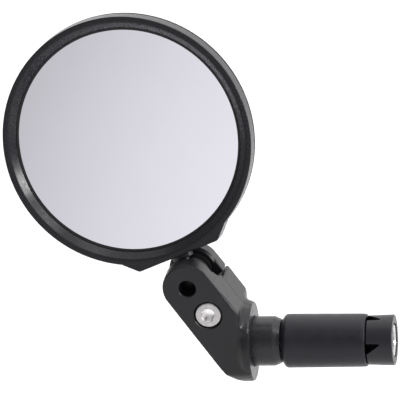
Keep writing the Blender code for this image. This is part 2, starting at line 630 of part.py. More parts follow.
def make_glass():
    """Slightly convex mirror glass, its rubber gasket and the foam pad behind it."""
    sphere = (GLASS_RADIUS ** 2 + GLASS_BULGE ** 2) / (2 * GLASS_BULGE)
    radii = [GLASS_RADIUS * i / 4 for i in range(4)] + [GLASS_RADIUS - 0.3]
    front = [(r, math.sqrt(sphere ** 2 - r ** 2) - sphere + GLASS_BULGE) for r in radii]
    glass = turned("mirror_glass", front + [(GLASS_RADIUS, -0.25), (GLASS_RADIUS, -GLASS_THICK),
                                            (0.0, -GLASS_THICK)], DISC_STEPS)
    finish(place(glass, (0.0, -GLASS_PLANE, DISC_CENTRE), TO_FRONT, mirror_axis), silvered)
    gasket = turned("glass_gasket", [(GLASS_RADIUS + GAP, 0.0), (WALL_BORE - GAP, 0.0),
                                     (WALL_BORE - GAP, -GLASS_THICK - 0.2),
                                     (GLASS_RADIUS + GAP, -GLASS_THICK - 0.2)], DISC_STEPS)
    finish(place(gasket, (0.0, -GLASS_PLANE, DISC_CENTRE), TO_FRONT, mirror_axis), black_rubber)
    pad = rod("foam_pad", PAD_RADIUS, -GLASS_THICK - GAP - PAD_THICK, -GLASS_THICK - GAP, 48)
    finish(place(pad, (0.0, -GLASS_PLANE, DISC_CENTRE), TO_FRONT, mirror_axis), foam)


def make_back_cover():
    """Domed back cover with bosses for the stem's tab and a ring that presses the foam pad."""
    seam = WALL_BACK - GAP
    cover = turned("back_cover", [
        (0.0, -9.4), (16.0, -9.0), (30.0, -7.4), (36.6, -5.2), (38.6, seam), (RIM_RADIUS, seam),
        (RIM_RADIUS - 0.2, -3.8), (39.4, -5.7), (36.5, -7.5), (28.0, -9.5), (14.0, -10.9),
        (0.0, COVER_BACK)], DISC_STEPS)
    place(cover, (0.0, -GLASS_PLANE, DISC_CENTRE), TO_FRONT, mirror_axis)
    chin = plate("cover_chin", chin_outline(), seam - 1.65, seam - 0.02)
    bevel(chin, 0.4)
    combine(cover, place(chin, (0.0, -GLASS_PLANE, DISC_CENTRE), TO_FRONT, mirror_axis), "UNION")
    pad_back = -GLASS_THICK - PAD_THICK - 2 * GAP
    ring = turned("cover_ring", [(18.0, pad_back), (21.0, pad_back), (21.0, -9.3), (18.0, -9.3)], 48)
    combine(cover, place(ring, (0.0, -GLASS_PLANE, DISC_CENTRE), TO_FRONT, mirror_axis), "UNION")
    for (name, along), depth in zip(TAB_SCREWS.items(), (5.7, 6.6)):
        boss = rod(name + "_boss", 3.2, TAB_DEPTH[1] + GAP, depth, 24)
        combine(cover, place(boss, (0.0, 0.0, along), TO_Y, mirror_axis), "UNION")
        hole = rod(name + "_hole", 1.5, 0.0, depth - 0.8, 20)
        combine(cover, place(hole, (0.0, 0.0, along), TO_Y, mirror_axis), "DIFFERENCE")
    notch = block("cover_notch", (-TAB_HALF - GAP, -2.0, 0.0),
                  (TAB_HALF + GAP, TAB_DEPTH[1] + GAP, COVER_NOTCH_END))
    combine(cover, place(notch, parent=mirror_axis), "DIFFERENCE")
    return finish(cover, dark_plastic)


def make_stem():
    """Stem: a pin in the ball, an oval neck in the slot and a flat tab behind the glass."""
    oval = [(NECK_HALF[0] * math.cos(a), NECK_HALF[1] * math.sin(a))
            for a in [2 * math.pi * i / 36 for i in range(36)]]
    stem = plate("mirror_stem", oval, *NECK_SPAN)
    place(stem, parent=mirror_axis)
    pin = rod("stem_pin", 1.9, -3.0, NECK_SPAN[0] + 1.0, 24)
    combine(stem, place(pin, parent=mirror_axis), "UNION")
    end = arc(TAB_HALF, 0.0, math.pi, 12, (0.0, TAB_SPAN[1] - TAB_HALF))
    outline = end + [(-TAB_HALF, TAB_SPAN[0]), (TAB_HALF, TAB_SPAN[0])]
    tab = plate("stem_tab", outline, -TAB_DEPTH[1], -TAB_DEPTH[0])
    combine(stem, place(tab, rotation=TO_FRONT, parent=mirror_axis), "UNION")
    for name, along in TAB_SCREWS.items():
        hole = turned(name + "_seat", [
            (0.0, 1.0), (2.5, 1.0), (2.5, -TAB_DEPTH[0] - 0.5), (1.5, -TAB_DEPTH[0] - 1.5), (1.5, -5.0),
            (0.0, -5.0)], 24)
        combine(stem, place(hole, (0.0, 0.0, along), TO_FRONT, mirror_axis), "DIFFERENCE")
    return finish(stem, black_steel)


def make_tab_screws():
    """Two countersunk screws that hold the stem's tab to the back cover."""
    for (name, along), tip in zip(TAB_SCREWS.items(), (4.6, 5.4)):
        top = -TAB_DEPTH[0] - 0.1
        screw = turned(name, [
            (0.0, top), (2.1, top), (2.1, top - 0.2), (1.2, top - 1.1), (1.2, -tip), (0.0, -tip)], 24)
        place(screw, (0.0, 0.0, along), TO_FRONT, mirror_axis)
        key = prism(name + "_key", 6, 1.6, top - 0.6, top + 1.0)
        combine(screw, place(key, (0.0, 0.0, along), TO_FRONT, mirror_axis), "DIFFERENCE")
        finish(screw, bright_steel)


clear_scene()
parts = new_collection("bicycle_mirror")
cutters = new_collection("cutters")

dark_plastic = material("dark_plastic", (0.032, 0.032, 0.035), 0.45)
black_rubber = material("black_rubber", (0.020, 0.020, 0.021), 0.75)
black_steel = material("black_steel", (0.030, 0.030, 0.032), 0.35, 0.6)
dark_metal = material("dark_metal", (0.10, 0.10, 0.105), 0.30, 1.0)
bright_steel = material("bright_steel", (0.62, 0.61, 0.60), 0.28, 1.0)
brass = material("brass", (0.60, 0.46, 0.20), 0.35, 1.0)
nylon = material("nylon", (0.70, 0.69, 0.66), 0.50)
silvered = material("silvered_glass", (0.84, 0.83, 0.88), 0.03, 1.0)
foam = material("foam", (0.10, 0.10, 0.10), 0.95)

elbow_axis = frame_empty("elbow_axis", BALL, (0.0, -LEAN, 0.0))
mirror_axis = frame_empty("mirror_axis", BALL, (STEM_BACK, STEM_SWING, 0.0))

make_plug()
make_front_half()
make_rear_half()
make_half_screws()
make_dowels()
make_rear_jaw()
make_clamp_insert()
make_clamp_screw()
make_seats()
make_stud_ball()
make_stem()
make_tab_screws()
make_front_frame()
make_glass()
make_back_cover()
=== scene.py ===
"""Detailed bar-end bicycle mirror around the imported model.

Sizes are in millimetres in the part's own frame: the origin is the middle of the elbow's flange face,
+X runs along the plug into the handlebar, +Z is up and -Y is the side that the glass faces.
"""
import json
import math

import bmesh
import bpy
from mathutils import Matrix, Vector


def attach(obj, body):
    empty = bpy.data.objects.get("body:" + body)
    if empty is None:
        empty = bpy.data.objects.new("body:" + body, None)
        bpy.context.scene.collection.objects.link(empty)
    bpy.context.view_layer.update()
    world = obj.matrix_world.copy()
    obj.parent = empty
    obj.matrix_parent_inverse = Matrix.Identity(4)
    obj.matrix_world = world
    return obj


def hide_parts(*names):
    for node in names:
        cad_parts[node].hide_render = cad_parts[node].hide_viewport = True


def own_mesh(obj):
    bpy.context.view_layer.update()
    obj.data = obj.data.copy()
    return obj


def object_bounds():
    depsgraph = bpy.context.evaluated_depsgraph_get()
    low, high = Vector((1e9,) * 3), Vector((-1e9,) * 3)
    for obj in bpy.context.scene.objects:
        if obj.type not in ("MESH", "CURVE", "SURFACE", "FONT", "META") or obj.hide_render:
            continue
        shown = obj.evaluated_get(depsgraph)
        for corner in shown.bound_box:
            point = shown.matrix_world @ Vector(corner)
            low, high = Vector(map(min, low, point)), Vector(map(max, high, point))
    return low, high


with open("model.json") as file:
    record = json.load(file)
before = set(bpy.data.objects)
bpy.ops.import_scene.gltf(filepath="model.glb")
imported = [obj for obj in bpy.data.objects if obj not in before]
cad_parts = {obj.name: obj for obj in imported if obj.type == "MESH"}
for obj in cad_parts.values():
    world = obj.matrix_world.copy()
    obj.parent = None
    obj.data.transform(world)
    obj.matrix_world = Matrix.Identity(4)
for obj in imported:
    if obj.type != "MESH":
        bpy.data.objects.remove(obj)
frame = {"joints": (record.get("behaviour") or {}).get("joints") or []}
cad_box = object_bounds()

MM = 0.001
GAP = 0.3                  # clearance between neighbouring pieces
STEPS = 72                 # sides of a small turned piece
PLUG_STEPS = 144           # sides of the plug's pieces
DISC_STEPS = 288           # sides of the mirror head's pieces
QUARTER = math.pi / 2

joints = {joint["name"]: joint for joint in frame["joints"]}
BALL = Vector(joints["mirror_swing"]["pos_m"]) / MM
CLAMP = Vector(joints["clamp_screw_turn"]["pos_m"]) / MM


def frame_at(origin, x_axis, z_axis):
    """A matrix that takes a piece's own axes to these, with its Y axis square to both."""
    x_axis = Vector(x_axis).normalized()
    z_axis = Vector(z_axis).normalized()
    turn = Matrix((x_axis, z_axis.cross(x_axis), z_axis)).transposed()
    return Matrix.Translation(MM * Vector(origin)) @ turn.to_4x4()


# Frames: a piece's own Z axis points along +X, to the front, to the back, or up the stem or the elbow
PLUG = frame_at((0, 0, 0), (0, 0, -1), (1, 0, 0))
UPRIGHT = Matrix.Identity(4)
STEM = frame_at(BALL, joints["mirror_lean"]["axis"], joints["mirror_spin"]["axis"])
ELBOW = frame_at(BALL, (-(CLAMP - BALL).z, 0, (CLAMP - BALL).x), BALL - CLAMP)
LEAN = math.atan2(CLAMP.x - BALL.x, BALL.z - CLAMP.z)


def to_front(point, within=UPRIGHT):
    """A frame at a point, whose Z axis points to -Y."""
    return within @ frame_at(point, (1, 0, 0), (0, -1, 0))


def to_back(point, within=UPRIGHT):
    """A frame at a point, whose Z axis points to +Y."""
    return within @ frame_at(point, (1, 0, 0), (0, 1, 0))


# ---------------------------------------------------------------- shapes

def new_object(name, shape, place):
    """An object from a bmesh, put in a frame."""
    mesh = bpy.data.meshes.new(name)
    shape.to_mesh(mesh)
    shape.free()
    obj = bpy.data.objects.new(name, mesh)
    bpy.context.scene.collection.objects.link(obj)
    obj.matrix_world = place
    return obj


def soften(points, size, steps=4):
    """Outline points with each corner between them rounded off."""
    result = [tuple(points[0])]
    for before, corner, after in zip(points, points[1:], points[2:]):
        before, corner, after = Vector(before), Vector(corner), Vector(after)
        back = before - corner
        on = after - corner
        reach = min(size, 0.45 * back.length, 0.45 * on.length)
        start = corner + reach * back.normalized()
        end = corner + reach * on.normalized()
        for i in range(steps + 1):
            t = i / steps
            result.append(tuple(start * (1 - t) ** 2 + corner * 2 * t * (1 - t) + end * t ** 2))
    return result + [tuple(points[-1])]


def arc(radius, start, end, steps, centre=(0.0, 0.0)):
    """Points on an arc, angles from the first axis."""
    turns = [start + (end - start) * i / steps for i in range(steps + 1)]
    return [(centre[0] + radius * math.cos(a), centre[1] + radius * math.sin(a)) for a in turns]


def turned(name, profile, place, steps=STEPS):
    """A piece turned about its Z axis from points (radius, height) that run down its outer side.

    A profile that starts off the axis is closed into a ring.
    """
    shape = bmesh.new()
    rows = []
    for radius, height in profile:
        if radius < 1e-6:
            rows.append([shape.verts.new((0.0, 0.0, MM * height))] * steps)
        else:
            rows.append([shape.verts.new((MM * radius * math.cos(a), MM * radius * math.sin(a), MM * height))
                         for a in [2 * math.pi * (i + 0.5) / steps for i in range(steps)]])
    if profile[0][0] > 0.0:
        rows.append(rows[0])
    for upper, lower in zip(rows, rows[1:]):
        for i in range(steps):
            j = (i + 1) % steps
            face = list(dict.fromkeys([upper[i], lower[i], lower[j], upper[j]]))
            if len(face) > 2:
                shape.faces.new(face)
    return new_object(name, shape, place)


def extruded(name, outline, low, high, place):
    """A flat piece from a closed outline in its own XY plane, between two heights."""
    shape = bmesh.new()
    base = [shape.verts.new((MM * x, MM * y, MM * low)) for x, y in outline]
    top = [shape.verts.new((MM * x, MM * y, MM * high)) for x, y in outline]
    shape.faces.new(top)
    shape.faces.new(base[::-1])
    for i in range(len(base)):
        j = (i + 1) % len(base)
        shape.faces.new((base[i], base[j], top[j], top[i]))
    bmesh.ops.recalc_face_normals(shape, faces=shape.faces)
    return new_object(name, shape, place)


def polygon(sides, across_flats):
    """Corners of a regular polygon."""
    corner = across_flats / 2 / math.cos(math.pi / sides)
    return arc(corner, 0.0, 2 * math.pi * (sides - 1) / sides, sides - 1)


def block(name, low, high, place):
    """A box between two corners."""
    outline = [(low[0], low[1]), (high[0], low[1]), (high[0], high[1]), (low[0], high[1])]
    return extruded(name, outline, low[2], high[2], place)


def settle(obj):
    """Replace an object's mesh with what its modifiers make of it."""
    bpy.context.view_layer.update()
    depsgraph = bpy.context.evaluated_depsgraph_get()
    mesh = bpy.data.meshes.new_from_object(obj.evaluated_get(depsgraph))
    obj.modifiers.clear()
    obj.data = mesh
    return obj


def combine(obj, operation, *tools):
    """Join, cut or trim an object with others, which are used up."""
    for tool in tools:
        step = obj.modifiers.new("Combine", "BOOLEAN")
        step.operation = operation
        step.solver = "MANIFOLD"
        step.object = tool
        settle(obj)
        bpy.data.objects.remove(tool, do_unlink=True)
    return obj


def bevelled(obj, width, segments=3, angle=35):
    """Round the sharp edges of a piece."""
    step = obj.modifiers.new("Edges", "BEVEL")
    step.width = MM * width
    step.segments = segments
    step.limit_method = "ANGLE"
    step.angle_limit = math.radians(angle)
    return settle(obj)


def melted(obj, voxel, rounds):
    """Remesh a piece evenly and relax it, which rounds its edges and fills its inner corners."""
    remesh = obj.modifiers.new("Voxels", "REMESH")
    remesh.mode = "VOXEL"
    remesh.voxel_size = MM * voxel
    relax = obj.modifiers.new("Relax", "SMOOTH")
    relax.factor = 0.5
    relax.iterations = rounds
    return settle(obj)


def relaxed(obj, rounds, inside):
    """Relax only the part of a mesh that a test of its points, in world millimetres, picks out."""
    group = obj.vertex_groups.new(name="relaxed")
    for vertex in obj.data.vertices:
        weight = inside(obj.matrix_world @ vertex.co / MM)
        if weight > 0.0:
            group.add([vertex.index], min(weight, 1.0), "REPLACE")
    relax = obj.modifiers.new("Relax", "SMOOTH")
    relax.factor = 0.5
    relax.iterations = rounds
    relax.vertex_group = "relaxed"
    settle(obj)
    obj.vertex_groups.clear()
    return obj


def copy_of(obj, name):
    """A second object with its own copy of the mesh."""
    other = obj.copy()
    other.data = obj.data.copy()
    other.name = name
    bpy.context.scene.collection.objects.link(other)
    return other


def finished(obj, mat, body, slot, *nodes, angle=32):
    """Shade a piece, give it its material and its body, and let it stand for its CAD nodes.

    The piece keeps its own coordinates in the attribute "own", which its material follows.
    """
    obj.data.shade_smooth()
    obj.data.set_sharp_from_angle(angle=math.radians(angle))
    flatter = obj.modifiers.new("Flatter", "WEIGHTED_NORMAL")
    flatter.keep_sharp = True
    flatter.weight = 80
    settle(obj)
    obj.data.materials.clear()
    obj.data.materials.append(mat)
    own = obj.data.attributes.new("own", "FLOAT_VECTOR", "POINT")
    own.data.foreach_set("vector", [value for vertex in obj.data.vertices for value in vertex.co])
    obj.data.transform(obj.matrix_world)
    obj.matrix_world = UPRIGHT
    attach(obj, body)
    if nodes:
        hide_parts(*nodes)
    return obj


# ---------------------------------------------------------------- materials

class Nodes:
    """Short calls that add nodes to a material and link them."""

    def __init__(self, name, roughness, metallic=0.0, specular=0.5):
        self.mat = bpy.data.materials.new(name)
        self.mat.use_nodes = True
        self.tree = self.mat.node_tree
        self.shader = self.tree.nodes["Principled BSDF"]
        self.shader.inputs["Metallic"].default_value = metallic
        self.shader.inputs["Roughness"].default_value = roughness
        self.shader.inputs["Specular IOR Level"].default_value = specular
        own = self.tree.nodes.new("ShaderNodeAttribute")
        own.attribute_name = "own"
        self.place = own.outputs["Vector"]

    def link(self, out, into):
        self.tree.links.new(out, into)

    def stretched(self, scale):
        """The piece's own coordinates, stretched along its axes."""
        node = self.tree.nodes.new("ShaderNodeMapping")
        node.inputs["Scale"].default_value = scale
        self.link(self.place, node.inputs["Vector"])
        return node.outputs["Vector"]

    def noise(self, size, detail=3.0, rough=0.5, place=None):
        """Noise with features about size millimetres across."""
        node = self.tree.nodes.new("ShaderNodeTexNoise")
        node.inputs["Scale"].default_value = 1.0 / (size * MM)
        node.inputs["Detail"].default_value = detail
        node.inputs["Roughness"].default_value = rough
        self.link(place or self.place, node.inputs["Vector"])
        return node.outputs["Fac"]

    def spread(self, value, low, high, start=0.3, end=0.7):
        """A value from start to end spread over low to high."""
        node = self.tree.nodes.new("ShaderNodeMapRange")
        for key, number in (("From Min", start), ("From Max", end), ("To Min", low), ("To Max", high)):
            node.inputs[key].default_value = number
        self.link(value, node.inputs["Value"])
        return node.outputs["Result"]

    def colours(self, value, *stops):
        """A colour that follows a value, from stops (position, colour)."""
        node = self.tree.nodes.new("ShaderNodeValToRGB")
        ramp = node.color_ramp
        for i, (position, colour) in enumerate(stops):
            stop = ramp.elements[i] if i < 2 else ramp.elements.new(position)
            stop.position = position
            stop.color = (*colour, 1.0)
        self.link(value, node.inputs["Fac"])
        return node.outputs["Color"]

    def rings(self, spacing):
        """Fine turning marks around the piece's own Z axis."""
        node = self.tree.nodes.new("ShaderNodeTexWave")
        node.wave_type = "RINGS"
        node.rings_direction = "Z"
        node.inputs["Scale"].default_value = 0.1 / (spacing * MM)
        node.inputs["Distortion"].default_value = 1.5
        node.inputs["Detail"].default_value = 2.0
        self.link(self.place, node.inputs["Vector"])
        return node.outputs["Fac"]

    def bumps(self, *layers):
        """Relief from layers (height, depth in millimetres), one on the other."""
        normal = None
        for height, depth in layers:
            node = self.tree.nodes.new("ShaderNodeBump")
            node.inputs["Distance"].default_value = depth * MM
            self.link(height, node.inputs["Height"])
            if normal:
                self.link(normal, node.inputs["Normal"])
            normal = node.outputs["Normal"]
        self.link(normal, self.shader.inputs["Normal"])

    def paint(self, colour, rough=None):
        self.link(colour, self.shader.inputs["Base Color"])
        if rough:
            self.link(rough, self.shader.inputs["Roughness"])
        return self.mat


def tones(colour, change):
    """A darker and a lighter tone of a colour."""
    return tuple(c * (1 - change) for c in colour), tuple(c * (1 + change) for c in colour)


def moulded(name, colour, roughness, grain=0.12, depth=0.006, specular=0.3):
    """Satin moulded plastic or fine powder coat: a fine grain with faint clouds and rubbed places."""
    look = Nodes(name, roughness, specular=specular)
    clouds = look.noise(9.0, 4.0, 0.6)
    fine = look.noise(grain, 2.0)
    dark, light = tones(colour, 0.12)
    look.bumps((look.noise(2.2, 2.0), 0.008), (fine, depth))
    return look.paint(look.colours(clouds, (0.3, dark), (0.7, light)),
                      look.spread(look.noise(1.1, 5.0, 0.65), roughness - 0.05, roughness + 0.07))


def rubber(name, colour, roughness):
    """Matt black rubber: soft stipple, faint bloom and a little dust."""
    look = Nodes(name, roughness, specular=0.28)
    bloom = look.noise(3.5, 5.0, 0.7)
    dark, light = tones(colour, 0.25)
    dust = tuple(c + 0.02 for c in light)
    look.bumps((look.noise(0.9, 3.0), 0.015), (look.noise(0.16, 2.0), 0.010))
    return look.paint(look.colours(bloom, (0.3, dark), (0.66, light), (0.82, dust)),
                      look.spread(bloom, roughness - 0.06, roughness + 0.1))


def turned_metal(name, colour, roughness, spacing=0.12, depth=0.003, metallic=1.0, specular=0.5):
    """Turned and plated metal: rings about the piece's axis, faint mottling and handling marks."""
    look = Nodes(name, roughness, metallic, specular)
    rings = look.rings(spacing)
    mottle = look.noise(0.8, 4.0, 0.6)
    dark, light = tones(colour, 0.08)
    scratches = look.noise(0.25, 3.0, 0.7, look.stretched((1.0, 6.0, 1.0)))
    look.bumps((rings, depth), (scratches, 0.003))
    return look.paint(look.colours(mottle, (0.3, dark), (0.7, light)),
                      look.spread(mottle, roughness - 0.06, roughness + 0.08))


# Painted shade: the nearly black colour given to recesses in place of the shade that falls in them
PAINTED_SHADE_BLACK = (0.002, 0.002, 0.002)


def plastic_with_painted_recess_shade(name, colour, roughness, radius, end):
    """Moulded plastic with painted shade: within a radius and short of its end it is coloured nearly black
    and made almost without specular, in place of the shade in its deep recesses.
    """
    look = Nodes(name, roughness)
    flat = look.tree.nodes.new("ShaderNodeVectorMath")
    flat.operation = "LENGTH"
    look.link(look.stretched((1.0, 1.0, 0.0)), flat.inputs[0])
    axis = look.tree.nodes.new("ShaderNodeSeparateXYZ")
    look.link(look.place, axis.inputs["Vector"])
    free_of_painted_shade = look.tree.nodes.new("ShaderNodeMath")
    free_of_painted_shade.operation = "MAXIMUM"
    outside = look.spread(flat.outputs["Value"], 0.0, 1.0, (radius - 0.3) * MM, radius * MM)
    at_end = look.spread(axis.outputs["Z"], 0.0, 1.0, (end - 0.3) * MM, (end - 0.2) * MM)
    look.link(outside, free_of_painted_shade.inputs[0])
    look.link(at_end, free_of_painted_shade.inputs[1])
    # Almost no specular within the radius, as part of the painted shade
    shine = look.spread(free_of_painted_shade.outputs["Value"], 0.02, 0.3, 0.0, 1.0)
    look.link(shine, look.shader.inputs["Specular IOR Level"])
    dark, light = tones(colour, 0.12)
    look.bumps((look.noise(2.2, 2.0), 0.008), (look.noise(0.18, 2.0), 0.008))
    # Painted shade: nearly black within the radius, the plastic's own tones elsewhere
    shade = look.colours(free_of_painted_shade.outputs["Value"], (0.0, PAINTED_SHADE_BLACK), (0.5, dark), (1.0, light))
    return look.paint(shade, look.spread(look.noise(1.1, 5.0, 0.65), roughness - 0.05, roughness + 0.07))


def steel_with_painted_socket_highlight(name, colour, roughness, painted_highlight, radius):
    """Turned steel with a painted highlight: inside a radius it takes a near-white colour without mottling,
    in place of the light that the socket's floor and walls reflect.
    """
    look = Nodes(name, roughness, 1.0)
    flat = look.tree.nodes.new("ShaderNodeVectorMath")
    flat.operation = "LENGTH"
    look.link(look.stretched((1.0, 1.0, 0.0)), flat.inputs[0])
    mottle = look.noise(0.8, 4.0, 0.6)
    dark, light = tones(colour, 0.16)
    worn = look.colours(mottle, (0.3, dark), (0.7, light))
    # Painted highlight: inside the radius the colour is mixed to a near-white tone
    mix = look.tree.nodes.new("ShaderNodeMix")
    mix.data_type = "RGBA"
    inside = look.spread(flat.outputs["Value"], 1.0, 0.0, (radius - 0.1) * MM, (radius + 0.1) * MM)
    look.link(inside, mix.inputs["Factor"])
    look.link(worn, mix.inputs["A"])
    mix.inputs["B"].default_value = (*painted_highlight, 1.0)
    scratches = look.noise(0.25, 3.0, 0.7, look.stretched((1.0, 6.0, 1.0)))
    look.bumps((look.rings(0.10), 0.003), (scratches, 0.003))
    return look.paint(mix.outputs["Result"], look.spread(mottle, roughness - 0.06, roughness + 0.08))


def mirror_silver(name, colour):
    """Polished glass in front of silvering, with the faintest waviness and a faint haze."""
    look = Nodes(name, 0.05, 1.0)
    haze = look.noise(14.0, 3.0, 0.5)
    dark, light = tones(colour, 0.006)
    look.bumps((look.noise(20.0, 1.0), 0.002))
    look.shader.inputs["Coat Weight"].default_value = 0.3
    look.shader.inputs["Coat Roughness"].default_value = 0.02
    return look.paint(look.colours(haze, (0.35, dark), (0.65, light)), look.spread(haze, 0.035, 0.07))


def cellular(name, colour):
    """Open foam."""
    look = Nodes(name, 0.95, specular=0.2)
    cells = look.noise(0.4, 4.0, 0.8)
    dark, light = tones(colour, 0.5)
    look.bumps((cells, 0.15))
    return look.paint(look.colours(cells, (0.35, dark), (0.65, light)))


elbow_coat = moulded("elbow_coat", (0.0085, 0.0085, 0.0105), 0.32, grain=0.10, depth=0.006)
frame_plastic = moulded("frame_plastic", (0.0085, 0.0080, 0.0115), 0.27, grain=0.14, depth=0.004)
# The wedge is painted nearly black inside its notches, as painted shade
wedge_plastic = plastic_with_painted_recess_shade("wedge_plastic", (0.0085, 0.0085, 0.0125), 0.38, radius=7.2, end=45.4)
sleeve_rubber = rubber("sleeve_rubber", (0.0080, 0.0080, 0.0125), 0.40)
gasket_rubber = rubber("gasket_rubber", (0.008, 0.008, 0.009), 0.60)
collar_steel = turned_metal("collar_steel", (0.009, 0.009, 0.0120), 0.30, spacing=0.10, depth=0.002,
                            metallic=0.0, specular=0.35)
stem_steel = moulded("stem_steel", (0.011, 0.011, 0.012), 0.40, grain=0.20, depth=0.004)
ball_steel = turned_metal("ball_steel", (0.010, 0.010, 0.011), 0.40, metallic=0.0, specular=0.15)
screw_steel = turned_metal("screw_steel", (0.52, 0.505, 0.51), 0.30, spacing=0.10)
# The clamp screw's socket is painted near white, a painted highlight
clamp_steel = steel_with_painted_socket_highlight("clamp_steel", (0.40, 0.385, 0.39), 0.30, painted_highlight=(0.90, 0.88, 0.89), radius=2.15)
small_steel = turned_metal("small_steel", (0.05, 0.05, 0.052), 0.34)
insert_brass = turned_metal("insert_brass", (0.60, 0.46, 0.20), 0.33)
seat_nylon = moulded("seat_nylon", (0.012, 0.012, 0.013), 0.50, grain=0.25, depth=0.008)
glass_silver = mirror_silver("glass_silver", (0.86, 0.85, 0.925))
pad_foam = cellular("pad_foam", (0.05, 0.05, 0.05))

# ---------------------------------------------------------------- elbow

HEAD_RADIUS = 8.0
EDGE_LEFT = 8.0             # half widths of the elbow either side of its long axis
EDGE_RIGHT = 8.15
FRONT_FACE = 10.9           # how far the faces stand from the split plane
REAR_FACE = 11.1
JAW_FACE = 9.7
FLANGE_RADIUS = 12.66
FLANGE_EDGE = 2.4           # straight edge of the flange, before its cove
FLANGE_START = -0.6         # where the elbow's outline leaves the flange, along the plug's axis
DISC_END = -7.6             # where the flange's cove ends inside the elbow
HEEL_RADIUS = 12.91         # the heel's round underside
HEEL_HALF = 12.95
# Outline (radius, height) that the elbow's blank is turned to where it meets the flange
FLANGE_SIDE = ((0.0, 1.0), (12.8, 1.0), (13.1, -1.6), (13.7, -2.6), (14.7, -3.0), (20.0, -3.2),
               (50.0, -10.0), (50.0, -70.0), (0.0, -70.0))
SLOT_HALF = 4.3
SLOT_FLOOR_CENTRE = -0.5    # centre of the slot's round floor, along the elbow from the ball
SLIT_START = 5.6
SLIT_WIDTH = 0.5
SIGHT_HOLE = 2.75
BALL_RADIUS = 6.0
SEAT_RADIUS = 6.0
SEAT_DEPTH = 2.6
CLAMP_HEAD = (4.25, 5.0)    # radius and height of the clamp screw's head
CLAMP_SHANK = 2.5
CLAMP_TOP = FRONT_FACE - 0.2
CLAMP_LENGTH = 14.0
SHANK_BORE_END = 9.2
INSERT = (3.5, 3.4)         # radius and thickness of the threaded insert
TONGUE = (4.6, 2.6, 7.3, 15.6)  # half width, near side, far side and end of the jaw's tongue
JAW_TRAVEL = 0.5
BORE = 3.4                  # the plug's bore
COLLAR = (8.0, 9.0)         # radius and end
COLLAR_RECESS = 0.6         # how deep the flange face is recessed for the collar
NECK = 4.5                  # the collar's neck, inside the flange
BUTTON = 7.4
POCKET = 7.8
POCKET_NEAR = 2.4
POCKET_FAR = 5.5
BOLT_HEAD = (5.0, 3.8)      # radius and height of the expander bolt's head
HALF_SCREWS = {"half_screw_upper": (-4.7, 10.0, 6.0), "half_screw_lower": (-3.4, -9.7, 2.0)}
HALF_SCREW = (1.0, 1.9, 2.0, -7.0)  # shank, head radius, head height and tip
DOWELS = {"dowel_upper": (-16.5, 7.7), "dowel_lower": (-7.0, -7.6)}
DOWEL = (0.7, 3.0)


def on_elbow(along, across):
    """World (x, z) of a point along the elbow from the ball, and across it."""
    return (BALL.x + along * math.sin(LEAN) + across * math.cos(LEAN),
            BALL.z - along * math.cos(LEAN) + across * math.sin(LEAN))


def elbow_outline():
    """Outline of the elbow in XZ: round head, two straight edges, flange edge and a curved heel."""
    head = [on_elbow(-HEAD_RADIUS * math.cos(a), HEAD_RADIUS * math.sin(a))
            for a in [math.radians(-90 + 5 * i) for i in range(37)]]
    shoulder = soften([on_elbow(10.0, EDGE_RIGHT), on_elbow(17.3, EDGE_RIGHT),
                       (FLANGE_START, FLANGE_RADIUS)], 3.0, 8)
    heel_start = Vector(on_elbow(27.0, -EDGE_LEFT))
    heel_corner = Vector((-4.6, -FLANGE_RADIUS))
    heel_end = Vector((-1.6, -FLANGE_RADIUS))
    heel = []
    for i in range(17):
        t = i / 16
        heel.append(tuple(heel_end * (1 - t) ** 2 + heel_corner * 2 * t * (1 - t) + heel_start * t ** 2))
    return head + shoulder + [(FLANGE_START, -FLANGE_RADIUS)] + heel


def elbow_blank():
    """The whole elbow before it is split, with its edges still sharp."""
    blank = extruded("elbow_blank", elbow_outline(), -REAR_FACE, FRONT_FACE, to_front((0, 0, 0)))
    around = arc(HEEL_RADIUS, math.pi, 2 * math.pi, 48) + [(HEEL_HALF, 50.0), (-HEEL_HALF, 50.0)]
    heel_limit = extruded("heel_limit", around, -60.0, 2.0, frame_at((0, 0, 0), (0, 1, 0), (1, 0, 0)))
    end_limit = turned("end_limit", FLANGE_SIDE, PLUG, PLUG_STEPS)
    combine(blank, "INTERSECT", heel_limit, end_limit)
    edge = soften([(FLANGE_RADIUS, 0.0), (FLANGE_RADIUS, -FLANGE_EDGE), (FLANGE_RADIUS - 0.9, -3.2),
                   (FLANGE_RADIUS - 1.7, -4.4), (9.5, DISC_END)], 1.0, 4)
    disc = turned("disc", [(0.0, 0.0)] + edge + [(0.0, DISC_END)], PLUG, PLUG_STEPS)
    return combine(blank, "UNION", disc)


def chamfered_hole(name, radius, start, end, chamfer, place, steps=STEPS):
    """A cutter for a hole, with a small chamfer where it comes out at its end."""
    return turned(name, [(0.0, end + 3.0), (radius + chamfer + 3.0, end + 3.0), (radius + chamfer, end),
                         (radius, end - chamfer), (radius, start), (0.0, start)], place, steps)


def slot_cutter():
    """The slot that the stem swings in: parallel walls and a round floor, open above."""
    floor = arc(SLOT_HALF, math.pi, 2 * math.pi, 24, (0.0, SLOT_FLOOR_CENTRE))
    outline = floor + [(SLOT_HALF, 6.0), (9.0, 30.0), (-9.0, 30.0), (-SLOT_HALF, 6.0)]
    return extruded("slot", outline, -30.0, 30.0, ELBOW @ frame_at((0, 0, 0), (0, 1, 0), (1, 0, 0)))


def ball_clearance():
    """The hollow round the ball."""
    radius = BALL_RADIUS + GAP
    return turned("ball_hollow", [(max(x, 0.0), y) for x, y in arc(radius, QUARTER, -QUARTER, 36)],
                  frame_at(BALL, (1, 0, 0), (0, 0, 1)))


